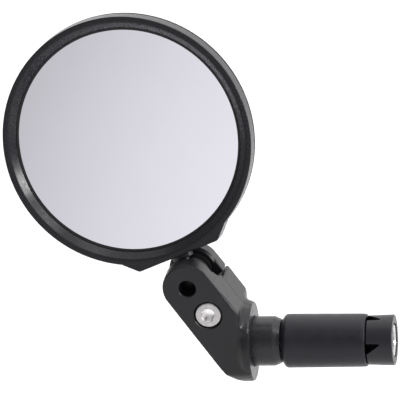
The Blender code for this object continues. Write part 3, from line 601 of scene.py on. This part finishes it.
def jaw_chamfer(place):
    """A ring that takes the inner edge off a jaw, so that the stem can lean in the slot."""
    near, far, inner = SLOT_HALF - 0.6, SLOT_HALF + 0.8, HEAD_RADIUS - 1.4
    ring = turned("jaw_chamfer", [(HEAD_RADIUS, far), (HEAD_RADIUS + 3.0, far), (HEAD_RADIUS + 3.0, near),
                                  (inner, near)], place, PLUG_STEPS)
    above_floor = block("above_floor", (-20.0, -20.0, SLOT_FLOOR_CENTRE - 1.0), (20.0, 20.0, 20.0), ELBOW)
    return combine(ring, "INTERSECT", above_floor)


def inner_pockets():
    """Cutters for what both halves share: the collar's pocket, the key's way in, dowels and screws."""
    key_way = BOLT_HEAD[0] + 0.4
    tools = [turned("collar_pocket", [
        (0.0, 5.0), (COLLAR[0] + GAP, 5.0), (COLLAR[0] + GAP, -COLLAR_RECESS), (NECK + GAP, -COLLAR_RECESS),
        (NECK + GAP, -POCKET_NEAR), (POCKET, -POCKET_NEAR),
        (POCKET, -POCKET_FAR), (key_way, -POCKET_FAR), (key_way, -30.0), (0.0, -30.0)], PLUG)]
    for x, z in DOWELS.values():
        depth = DOWEL[1] + GAP
        tools.append(turned("dowel_hole", [(0.0, depth), (DOWEL[0] + GAP, depth), (DOWEL[0] + GAP, -depth),
                                           (0.0, -depth)], to_back((x, 0, z)), 32))
    shank, head, _, tip = HALF_SCREW
    for x, z, seat in HALF_SCREWS.values():
        tools.append(turned("screw_hole", [
            (0.0, 20.0), (head + GAP, 20.0), (head + GAP, seat - GAP), (shank + GAP, seat - GAP),
            (shank + GAP, tip - GAP), (0.0, tip - GAP)], to_back((x, 0, z)), 48))
    return tools


def seat_recess(place):
    """The round recess that holds a ball seat."""
    end = SLOT_HALF + SEAT_DEPTH + GAP
    return turned("seat_recess", [(0.0, end), (SEAT_RADIUS + GAP, end), (SEAT_RADIUS + GAP, SLOT_HALF - 0.5),
                                  (0.0, SLOT_HALF - 0.5)], place)


def half_space(front):
    """A block on the front or the rear side of the split plane, with half the split's gap."""
    low, high = (-30.0, -GAP / 4) if front else (GAP / 4, 30.0)
    return block("side", (-60.0, low, -40.0), (20.0, high, 60.0), UPRIGHT)


def near_flange(point):
    """How much a point lies in the cove where the elbow runs into its flange."""
    from_axis = math.hypot(point.y, point.z)
    return min((-0.7 - point.x) / 0.6, (point.x + 8.0) / 1.5, (from_axis - 10.0) / 0.5)


def near_slit(point):
    """How much a point lies at the rear half's free upper end."""
    offset = point - BALL
    along = offset.x * math.sin(LEAN) - offset.z * math.cos(LEAN)
    return (SLIT_START + 3.2 - along) / 1.5 if point.y > 1.5 else 0.0


def make_elbow():
    """Both halves of the elbow, from one blank split down the middle.

    The rear half's upper end stands free below the jaw, so its edges are rounded too.
    """
    front = elbow_blank()
    front.name = "elbow_front"
    rear = copy_of(front, "elbow_rear")
    head_gap = block("head_gap", (-30.0, -30.0, -SLIT_START - SLIT_WIDTH), (30.0, 30.0, 40.0), ELBOW)
    combine(rear, "DIFFERENCE", head_gap)
    for half in (front, rear):
        melted(half, voxel=0.21, rounds=9)
        relaxed(half, rounds=100, inside=near_flange)
    relaxed(rear, rounds=80, inside=near_slit)
    for half in (front, rear):
        combine(half, "DIFFERENCE", slot_cutter(), ball_clearance(), *inner_pockets())
    counterbore = turned("counterbore", [
        (0.0, 20.0), (CLAMP_HEAD[0] + 3.8, 20.0), (CLAMP_HEAD[0] + 0.55, FRONT_FACE),
        (CLAMP_HEAD[0] + GAP, FRONT_FACE - 0.3), (CLAMP_HEAD[0] + GAP, CLAMP_TOP - CLAMP_HEAD[1] - GAP),
        (CLAMP_SHANK + GAP, CLAMP_TOP - CLAMP_HEAD[1] - GAP), (CLAMP_SHANK + GAP, -5.0), (0.0, -5.0)],
        to_front(CLAMP), PLUG_STEPS)
    sight = chamfered_hole("sight_hole", SIGHT_HOLE, 2.0, FRONT_FACE, 0.25, to_front(BALL), PLUG_STEPS)
    combine(front, "INTERSECT", half_space(True))
    combine(front, "DIFFERENCE", seat_recess(to_front(BALL)), jaw_chamfer(to_front(BALL)), sight, counterbore)
    finished(front, elbow_coat, "elbow", "dark_plastic", "elbow_front_half")
    half, near, far, end = TONGUE
    channel = block("tongue_channel", (-half - GAP, near - GAP, -end - GAP),
                    (half + GAP, far + JAW_TRAVEL + GAP, 0.0), ELBOW)
    bore = turned("shank_bore", [
        (0.0, SHANK_BORE_END), (CLAMP_SHANK + GAP, SHANK_BORE_END), (CLAMP_SHANK + GAP, -5.0), (0.0, -5.0)],
        to_back(CLAMP))
    combine(rear, "INTERSECT", half_space(False))
    combine(rear, "DIFFERENCE", channel, bore)
    finished(rear, elbow_coat, "elbow", "dark_plastic", "elbow_rear_half")


def make_jaw():
    """The rear jaw with the tongue that the clamp screw pulls."""
    jaw = extruded("rear_jaw_lobe", elbow_outline(), -JAW_FACE, -SLOT_HALF, to_front((0, 0, 0)))
    below = block("below", (-40.0, -20.0, -60.0), (40.0, 40.0, -SLIT_START), ELBOW)
    combine(jaw, "DIFFERENCE", below)
    bevelled(jaw, 0.55)
    half, near, far, end = TONGUE
    tongue = block("tongue", (-half, near, -end), (half, far, -3.0), ELBOW)
    bevelled(tongue, 0.3)
    combine(jaw, "UNION", tongue)
    insert_hole = INSERT[0] + GAP
    depth = far - INSERT[1] - GAP
    bore = turned("insert_pocket", [
        (0.0, 20.0), (insert_hole, 20.0), (insert_hole, depth), (CLAMP_SHANK + GAP, depth),
        (CLAMP_SHANK + GAP, 0.0), (0.0, 0.0)], to_back(CLAMP))
    combine(jaw, "DIFFERENCE", ball_clearance(), seat_recess(to_back(BALL)), jaw_chamfer(to_back(BALL)), bore)
    finished(jaw, elbow_coat, "jaw", "dark_plastic", "rear_jaw")


# ---------------------------------------------------------------- screws and small metal

def thread(radius, start, end, pitch):
    """Profile points of a threaded shank, from its upper end to its lower end."""
    depth = 0.6 * pitch
    points = []
    for i in range(int((start - end) / pitch)):
        top = start - i * pitch
        points += [(radius, top - 0.10 * pitch), (radius - depth, top - 0.45 * pitch),
                   (radius - depth, top - 0.60 * pitch), (radius, top - 0.95 * pitch)]
    return points


def socket(name, across_flats, face, depth, place):
    """Cutter for a hexagon socket with a chamfered mouth and a drilled floor."""
    hexagon = extruded(name, polygon(6, across_flats), face - depth, face + 1.0, place)
    corner = across_flats / 2 / math.cos(math.pi / 6)
    mouth = turned(name + "_mouth", [
        (0.0, face + 1.0), (corner + 1.0, face + 1.0), (corner - 0.12, face - 0.12),
        (0.0, face - 0.12)], place)
    bottom = face - depth
    drilled = 0.40 * across_flats
    floor = turned(name + "_floor", [
        (0.0, bottom + 0.3), (drilled, bottom + 0.3), (drilled, bottom), (0.0, bottom - 0.4)], place)
    return combine(hexagon, "UNION", mouth, floor)


def cap_screw(name, place, head, shank, length, face, key, pitch, plain=2.0):
    """Socket-head screw: a head of (radius, height) whose outer face stands at a height, and a thread."""
    radius, height = head
    under = face - height
    tip = under - length
    outline = soften([(0.0, face), (radius - 0.35, face), (radius, face - 0.35), (radius, under + 0.15),
                      (radius - 0.2, under), (shank, under)], 0.18, 3)
    profile = outline + [(shank, under - plain)] + thread(shank, under - plain, tip + 0.6, pitch)
    profile += [(shank - 0.55, tip), (0.0, tip)]
    screw = turned(name, profile, place, PLUG_STEPS)
    return combine(screw, "DIFFERENCE", socket(name + "_key", key, face, 0.55 * height, place))


def make_screws():
    """Clamp screw with its insert, half screws and dowels."""
    screw = cap_screw("clamp_bolt", to_front(CLAMP), CLAMP_HEAD, CLAMP_SHANK, CLAMP_LENGTH, CLAMP_TOP,
                      key=4.0, pitch=0.8)
    finished(screw, clamp_steel, "clamp_screw", "bright_steel", "clamp_screw")
    radius, thick = INSERT
    far = TONGUE[2]
    insert = turned("threaded_insert", soften([
        (CLAMP_SHANK + GAP, far), (radius, far), (radius, far - thick), (CLAMP_SHANK + GAP, far - thick),
        (CLAMP_SHANK + GAP, far - 0.1)], 0.3), to_back(CLAMP))
    finished(insert, insert_brass, "jaw", "brass", "clamp_insert")
    shank, head, height, tip = HALF_SCREW
    for name, (x, z, seat) in HALF_SCREWS.items():
        screw = cap_screw(name + "_fine", to_back((x, 0, z)), (head, height), shank, seat - tip,
                          seat + height, key=2.0, pitch=0.45)
        finished(screw, small_steel, "elbow", "black_steel", name)
    radius, half = DOWEL
    for name, (x, z) in DOWELS.items():
        outline = soften([(0.0, half), (radius, half), (radius, -half), (0.0, -half)], 0.2)
        pin = turned(name + "_fine", outline, to_back((x, 0, z)), 40)
        finished(pin, screw_steel, "elbow", "bright_steel", name)


# ---------------------------------------------------------------- plug

SLEEVE = (9.3, 36.6, 8.68, 8.55)  # start, end and the radius near each
WEDGE = (30.6, 36.9, 45.4)  # nose, start of the body, end
WEDGE_RADII = (5.0, 7.3, 7.9, 8.2)  # nose, root of the nose, small end and big end
NOTCHES = 4
NOTCH = (1.9, 4.3)          # half width of a notch and how far it runs along the wedge
NOTCH_FLOOR = 6.4           # how far its floor is from the axis
NUT = (10.0, 5.0)           # across flats and thickness
BOLT = (3.0, 43.6)          # radius and how far it reaches along the plug


def make_collar():
    """Turned collar with its neck, the button behind the flange and the friction washer."""
    washer_near = POCKET_NEAR + GAP
    washer_far = washer_near + 0.6
    radius, end = COLLAR
    edge = soften([(BORE, end), (radius - 1.0, end), (radius, end - 2.2),
                   (radius, GAP - COLLAR_RECESS), (NECK, GAP - COLLAR_RECESS)], 0.22)
    button = soften([(NECK, -washer_far - GAP), (BUTTON, -washer_far - GAP), (BUTTON, -POCKET_FAR + GAP),
                     (BORE, -POCKET_FAR + GAP)], 0.2)
    collar = turned("collar", edge + button, PLUG, PLUG_STEPS)
    finished(collar, collar_steel, "plug", "black_steel", "plug_collar")
    washer = turned("washer", soften([
        (NECK + GAP, -washer_near), (BUTTON, -washer_near), (BUTTON, -washer_far),
        (NECK + GAP, -washer_far)], 0.1), PLUG)
    finished(washer, seat_nylon, "plug", "nylon", "friction_washer")


def make_sleeve():
    """Rubber sleeve with a chamfered lip and a conical mouth for the wedge."""
    start, end, near, far = SLEEVE
    nose = WEDGE_RADII[0]
    mouth = WEDGE_RADII[1] + GAP
    outer = soften([(mouth, end), (far - 0.2, end), (far, end - 1.0), (near, start + 1.3),
                    (near - 1.65, start), (BORE, start)], 0.7, 6)
    inner = [(BORE, WEDGE[0] - GAP), (nose + GAP, WEDGE[0] - GAP)]
    sleeve = turned("sleeve", outer + inner, PLUG, PLUG_STEPS)
    finished(sleeve, sleeve_rubber, "plug", "black_rubber", "expander_sleeve")
    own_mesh(sleeve)


def make_wedge():
    """Wedge with saw-tooth notches at its small end, its captive nut and the long bolt."""
    nose, root, small, big = WEDGE_RADII
    near, start, end = WEDGE
    body = soften([(BORE, end), (big, end), (small, start), (root, start), (nose, near), (BORE, near)], 0.45)
    wedge = turned("wedge", body, PLUG, PLUG_STEPS)
    flats, thick = NUT
    nut_start = end - GAP - thick
    pocket = extruded("nut_pocket", polygon(6, flats + 2 * GAP), nut_start - GAP, end + 5.0, PLUG)
    combine(wedge, "DIFFERENCE", pocket)
    half, depth = NOTCH
    for i in range(NOTCHES):
        hand = -1 if i % 2 else 1
        tooth = soften([(hand * x, along) for x, along in (
            (0.0, start - 1.0), (half, start - 1.0), (half, start + depth), (half - 0.5, start + depth),
            (-half, start), (-half, start - 1.0), (0.0, start - 1.0))], 0.3, 3)
        lying = Matrix.Rotation(i * QUARTER, 4, "X") @ frame_at((0, 0, 0), (0, -1, 0), (0, 0, 1))
        combine(wedge, "DIFFERENCE", extruded("notch", tooth[:-1], NOTCH_FLOOR, big + 2.0, lying))
        short_of_nut = [(x, min(along, nut_start - 1.0)) for x, along in tooth[:-1]]
        deep = list(dict.fromkeys(short_of_nut))
        combine(wedge, "DIFFERENCE", extruded("deep_notch", deep, nose, big + 2.0, lying))
    finished(wedge, wedge_plastic, "wedge", "dark_plastic", "expander_wedge")
    nut = extruded("nut", polygon(6, flats), nut_start, nut_start + thick, PLUG)
    bevelled(nut, 0.25)
    hole = turned("nut_hole", [
        (0.0, 60.0), (BOLT[0] + 2.0, 60.0), (BOLT[0] + 1.0, nut_start + thick + 0.5),
        (BOLT[0] + GAP, nut_start + thick - 0.5), (BOLT[0] + GAP, 20.0), (0.0, 20.0)], PLUG)
    combine(nut, "DIFFERENCE", hole)
    finished(nut, screw_steel, "wedge", "bright_steel", "wedge_nut")
    face = POCKET_FAR + BOLT_HEAD[1]
    back = PLUG @ Matrix.Rotation(math.pi, 4, "X")
    bolt = cap_screw("long_bolt", back, BOLT_HEAD, BOLT[0], BOLT[1] + POCKET_FAR, face,
                     key=5.0, pitch=1.0, plain=28.0)
    finished(bolt, screw_steel, "bolt", "bright_steel", "expander_bolt")


# ---------------------------------------------------------------- ball joint and stem

NECK_HALF = (3.5, 2.6)      # half width and half depth of the stem's neck
NECK_SPAN = (6.4, 10.6)     # where the neck starts and ends, from the ball's centre
STEM_PIN = (1.9, -3.0, 7.4)  # radius, end in the ball and end in the neck
BALL_BORE = (2.2, -3.3)     # radius and floor of the ball's bore
TAB = (4.5, 0.6, 3.0, 8.7, 22.0)  # half width, near side, far side, start and end
TAB_SCREWS = {"tab_screw_lower": (14.0, 4.6), "tab_screw_upper": (19.0, 5.4)}  # place and tip


def make_ball():
    """The ball with its bore, and the two cups it turns in."""
    pin, floor = BALL_BORE
    top = math.sqrt(BALL_RADIUS ** 2 - pin ** 2)
    profile = arc(BALL_RADIUS, math.asin(top / BALL_RADIUS), -QUARTER, 48)
    profile[-1] = (0.0, -BALL_RADIUS)
    sphere = turned("ball", [(0.0, floor), (pin, floor)] + profile, STEM, PLUG_STEPS)
    finished(sphere, ball_steel, "ball", "dark_metal", "stud_ball")
    cup = BALL_RADIUS + GAP
    outer = SLOT_HALF + SEAT_DEPTH
    for name, hole, place in (("front", SIGHT_HOLE, to_front(BALL)), ("rear", 0.0, to_back(BALL))):
        inside = arc(cup, math.asin(SLOT_HALF / cup), math.acos(hole / cup), 20)
        if not hole:
            inside[-1] = (0.0, cup)
        rim = soften([(hole, outer), (SEAT_RADIUS, outer), (SEAT_RADIUS, SLOT_HALF), inside[0]], 0.2)
        seat = turned(name + "_cup", rim + inside[1:], place, PLUG_STEPS)
        finished(seat, seat_nylon, "seats", "nylon", name + "_seat")


def make_stem():
    """Forged stem: a pin in the ball, an oval neck in the slot and a flat tab behind the glass."""
    oval = [(NECK_HALF[0] * math.cos(a), NECK_HALF[1] * math.sin(a))
            for a in [2 * math.pi * i / 72 for i in range(72)]]
    stem = extruded("stem", oval, *NECK_SPAN, STEM)
    radius, low, high = STEM_PIN
    pin = turned("pin", [(0.0, high), (radius, high), (radius, low), (0.0, low)], STEM)
    half, near, far, start, end = TAB
    outline = arc(half, 0.0, math.pi, 24, (0.0, end - half)) + [(-half, start), (half, start)]
    tab = extruded("tab", outline, -far, -near, to_front((0, 0, 0), STEM))
    combine(stem, "UNION", pin, tab)
    melted(stem, voxel=0.14, rounds=5)
    for along, _ in TAB_SCREWS.values():
        seat = turned("tab_seat", [
            (0.0, 1.0), (2.5, 1.0), (2.5, -near - 0.5), (1.5, -near - 1.5), (1.5, -5.0), (0.0, -5.0)],
            to_front((0, 0, along), STEM), 48)
        combine(stem, "DIFFERENCE", seat)
    finished(stem, stem_steel, "head", "black_steel", "mirror_stem")
    for name, (along, tip) in TAB_SCREWS.items():
        top = -near - 0.1
        place = to_front((0, 0, along), STEM)
        screw = turned(name + "_fine", [(0.0, top), (2.05, top), (2.1, top - 0.2), (1.2, top - 1.1)]
                       + thread(1.2, top - 1.2, -tip, 0.5) + [(0.9, -tip), (0.0, -tip)], place, 48)
        combine(screw, "DIFFERENCE", extruded(name + "_key", polygon(6, 1.6), top - 0.6, top + 1.0, place))
        finished(screw, small_steel, "head", "bright_steel", name)


# ---------------------------------------------------------------- mirror head

DISC_CENTRE = 48.6
GLASS_PLANE = 2.0
CHIN = (40.6, 15.0, 1.6, math.radians(27.0))  # flat, half width, corner and root angle
RIM = (40.78, 2.76, 38.8)   # radius, front and inner radius
LIP_RADIUS = 36.75
LIP_HEIGHT = 0.45
WALL = (37.3, -2.25)        # bore and back
EDGE_ROUNDING = 0.45
GLASS = (35.85, 1.08, 2.0)  # radius, bulge and thickness
COVER_BACK = -11.28
COVER_BORE = 38.6
PAD = (22.0, 2.0)           # radius and thickness
PAD_RING = (18.0, 21.0)     # bore and radius
BOSS = (3.2, 1.5)           # radius and bore of a tab screw's boss
BOSS_DEPTHS = (5.7, 6.6)
DISC = to_front((0, -GLASS_PLANE, DISC_CENTRE), STEM)


def chin_outline():
    """The chin below the rim: a flat with round corners that runs into the rim's circle."""
    flat, half, corner, root = CHIN
    inner = arc(RIM[2] + 0.4, -QUARTER + root, -QUARTER - root, 40)
    right = arc(corner, -QUARTER, math.radians(-47), 8, (half - corner, -flat + corner))
    right.append((RIM[0] * math.sin(root), -RIM[0] * math.cos(root)))
    left = [(-x, y) for x, y in reversed(right)]
    return left + right + inner


def make_glass():
    """Slightly convex glass with a square edge, its gasket and the foam pad."""
    radius, bulge, thick = GLASS
    sphere = (radius ** 2 + bulge ** 2) / (2 * bulge)
    radii = [radius * i / 24 for i in range(25)]
    front = [(r, math.sqrt(sphere ** 2 - r ** 2) - sphere + bulge) for r in radii]
    glass = turned("glass", front + [(radius, -thick), (0.0, -thick)], DISC, DISC_STEPS)
    finished(glass, glass_silver, "head", "silvered_glass", "mirror_glass", angle=20)
    gasket = turned("gasket", soften([
        (radius + 0.12, 0.0), (LIP_RADIUS - 0.1, 0.3), (LIP_RADIUS - 0.1, 0.1), (WALL[0] - GAP, -0.1),
        (WALL[0] - GAP, -thick - 0.2), (radius + 0.12, -thick - 0.2), (radius + 0.12, -0.1)], 0.1),
        DISC, DISC_STEPS)
    finished(gasket, gasket_rubber, "head", "black_rubber", "glass_gasket")
    back = -thick - GAP
    pad = turned("pad", soften([(0.0, back), (PAD[0], back), (PAD[0], back - PAD[1]), (0.0, back - PAD[1])],
                               0.5), DISC, PLUG_STEPS)
    finished(pad, pad_foam, "head", "foam", "foam_pad")


def make_front_frame():
    """Ring that holds the glass: bevel, rim, side wall and the chin, notched for the stem."""
    radius, front, inner = RIM
    bore, back = WALL
    flat = (0.5 * (radius + inner), front)
    ring = turned("mirror_frame", soften([
        flat, (radius - 0.1, front), (radius, back), (bore, back), (bore, GAP), (LIP_RADIUS, GAP),
        (LIP_RADIUS, LIP_HEIGHT), (inner, front), flat], EDGE_ROUNDING, 5)[:-1], DISC, DISC_STEPS)
    chin = extruded("chin", chin_outline(), back + 0.02, front - 0.02, DISC)
    bevelled(chin, EDGE_ROUNDING)
    notch = block("notch", (-NECK_HALF[0] - GAP, -NECK_HALF[1] - GAP, 0.0),
                  (NECK_HALF[0] + GAP, 6.0, NECK_SPAN[1] + GAP), STEM)
    combine(ring, "UNION", chin)
    combine(ring, "DIFFERENCE", notch)
    finished(ring, frame_plastic, "head", "dark_plastic", "front_frame", angle=28)


def make_back_cover():
    """Domed back cover with a fine step round its edge, bosses and the pad's ring."""
    radius = RIM[0]
    seam = WALL[1] - GAP
    outer = soften([
        (COVER_BORE, seam), (radius - 0.3, seam), (radius - 0.3, seam - 0.4), (radius, seam - 0.5),
        (radius - 0.2, -3.8), (39.4, -5.7), (36.5, -7.5), (33.0, -8.55), (32.7, -8.3), (32.2, -8.3),
        (31.9, -8.8), (28.0, -9.5), (14.0, -10.9), (4.0, COVER_BACK), (0.0, COVER_BACK)], 1.2, 5)
    inside = soften([(0.0, -9.4), (16.0, -9.0), (30.0, -7.4), (36.6, -5.2), (COVER_BORE, seam)], 1.5)
    cover = turned("mirror_back", inside[:-1] + outer, DISC, DISC_STEPS)
    chin = extruded("back_chin", chin_outline(), seam - 1.65, seam - 0.02, DISC)
    bevelled(chin, EDGE_ROUNDING)
    pad_back = -GLASS[2] - PAD[1] - 2 * GAP
    bore, outside = PAD_RING
    ring = turned("pad_ring", [(bore, pad_back), (outside, pad_back), (outside, -9.3), (bore, -9.3)],
                  DISC, PLUG_STEPS)
    combine(cover, "UNION", chin, ring)
    boss_radius, bore = BOSS
    near = TAB[2] + GAP
    for (along, _), depth in zip(TAB_SCREWS.values(), BOSS_DEPTHS):
        place = to_back((0, 0, along), STEM)
        boss = turned("boss", [
            (0.0, depth), (boss_radius, depth), (boss_radius, near), (0.0, near)], place, 48)
        hole = turned("boss_hole", [
            (0.0, depth - 0.8), (bore, depth - 0.8), (bore, 0.0), (0.0, 0.0)], place, 48)
        combine(cover, "UNION", boss)
        combine(cover, "DIFFERENCE", hole)
    notch = block("tab_notch", (-TAB[0] - GAP, -2.0, 0.0), (TAB[0] + GAP, TAB[2] + GAP, 14.0), STEM)
    combine(cover, "DIFFERENCE", notch)
    finished(cover, frame_plastic, "head", "dark_plastic", "back_cover", angle=28)


# ---------------------------------------------------------------- studio

AZIMUTH = math.radians(9.7)
ELEVATION = math.radians(22.2)
ROLL = math.radians(4.3)
DISTANCE = 2600.0
LENS = 729.6
AIM = (-17.54, 45.2)        # right of and above the origin, as the camera sees it
ROOM = 0.42                 # strength of the room's light all round, behind the object and in front
ROOM_BEHIND = 1.0
ROOM_IN_FRONT = 0.55
FLOOR_RADIUS = 0.75         # metres, as all the places and sizes from here on
FLOOR_BEHIND = 0.45
FLOOR_BELOW = 0.030
# Place, target, width, height and power of each soft light
SOFTBOXES = {
    "overhead": ((0.10, 0.35, 1.25), (0.0, 0.15, 0.0), 1.6, 1.6, 9.0),
    "front": ((0.20, -0.90, 1.15), (0.0, 0.0, 0.04), 0.45, 0.30, 1.2),
    "right": ((0.865, -0.182, 0.345), (-0.072, 0.008, 0.057), 0.16, 0.20, 5.0),
    "upper_right": ((0.60, -0.110, 0.70), (-0.060, 0.005, 0.035), 0.20, 0.30, 1.4),
    "upper": ((0.14, -0.025, 1.02), (-0.050, 0.0, 0.033), 0.50, 0.28, 0.7),
}


def make_camera():
    """A long lens in front, a little to the right and above."""
    toward = Vector((math.sin(AZIMUTH) * math.cos(ELEVATION), -math.cos(AZIMUTH) * math.cos(ELEVATION),
                     math.sin(ELEVATION)))
    level = Vector((math.cos(AZIMUTH), math.sin(AZIMUTH), 0.0))
    raised = toward.cross(level)
    right = level * math.cos(ROLL) - raised * math.sin(ROLL)
    up = toward.cross(right)
    data = bpy.data.cameras.new("camera")
    data.lens = LENS
    data.sensor_width = 36.0
    data.clip_end = 20.0
    camera = bpy.data.objects.new("camera", data)
    bpy.context.scene.collection.objects.link(camera)
    centre = AIM[0] * right + AIM[1] * up
    turn = Matrix((right, up, toward)).transposed().to_4x4()
    camera.matrix_world = Matrix.Translation(MM * (centre + DISTANCE * toward)) @ turn
    bpy.context.scene.camera = camera


def softbox(name, place, target, width, height, power):
    """A rectangular white light that faces a point."""
    data = bpy.data.lights.new(name, "AREA")
    data.shape = "RECTANGLE"
    data.size = width
    data.size_y = height
    data.energy = power
    light = bpy.data.objects.new(name, data)
    bpy.context.scene.collection.objects.link(light)
    light.location = place
    light.rotation_euler = (Vector(target) - Vector(place)).to_track_quat("-Z", "Y").to_euler()
    light.visible_camera = False


def room_light(tree, direction, start, end, strength):
    """Light of the room that rises smoothly towards a direction."""
    coordinates = tree.nodes.new("ShaderNodeTexCoord")
    facing = tree.nodes.new("ShaderNodeVectorMath")
    facing.operation = "DOT_PRODUCT"
    facing.inputs[1].default_value = Vector(direction).normalized()
    tree.links.new(coordinates.outputs["Generated"], facing.inputs[0])
    rise = tree.nodes.new("ShaderNodeMapRange")
    rise.interpolation_type = "SMOOTHSTEP"
    rise.inputs["From Min"].default_value = start
    rise.inputs["From Max"].default_value = end
    rise.inputs["To Max"].default_value = strength
    tree.links.new(facing.outputs["Value"], rise.inputs["Value"])
    return rise.outputs["Result"]


def make_studio():
    """Pale floor in a soft white room that is bright behind the object, with the soft lights."""
    shape = bmesh.new()
    bmesh.ops.create_circle(shape, cap_ends=True, segments=96, radius=FLOOR_RADIUS)
    place = Matrix.Translation((0.0, FLOOR_BEHIND, cad_box[0][2] - FLOOR_BELOW))
    floor = new_object("floor", shape, place)
    look = Nodes("floor_paper", 0.9, specular=0.1)
    look.bumps((look.noise(3.0, 3.0), 0.02))
    floor.data.materials.append(look.paint(look.colours(look.noise(300.0), (0.3, (0.90, 0.90, 0.90)),
                                                        (0.7, (0.93, 0.93, 0.93)))))
    world = bpy.data.worlds.new("room")
    world.use_nodes = True
    tree = world.node_tree
    total = None
    for light in (room_light(tree, (0.25, 0.95, 0.15), -0.2, 0.9, ROOM_BEHIND),
                  room_light(tree, (0.25, -0.93, -0.27), 0.62, 0.96, ROOM_IN_FRONT)):
        add = tree.nodes.new("ShaderNodeMath")
        add.inputs[1].default_value = ROOM
        if total:
            tree.links.new(total, add.inputs[1])
        tree.links.new(light, add.inputs[0])
        total = add.outputs["Value"]
    tree.links.new(total, tree.nodes["Background"].inputs["Strength"])
    tree.nodes["Background"].inputs["Color"].default_value = (1.0, 1.0, 1.0, 1.0)
    bpy.context.scene.world = world
    for name, settings in SOFTBOXES.items():
        softbox(name, *settings)
    bpy.context.scene.view_settings.view_transform = "Standard"


make_camera()
make_studio()
make_elbow()
make_jaw()
make_screws()
make_collar()
make_sleeve()
make_wedge()
make_ball()
make_stem()
make_glass()
make_front_frame()
make_back_cover()
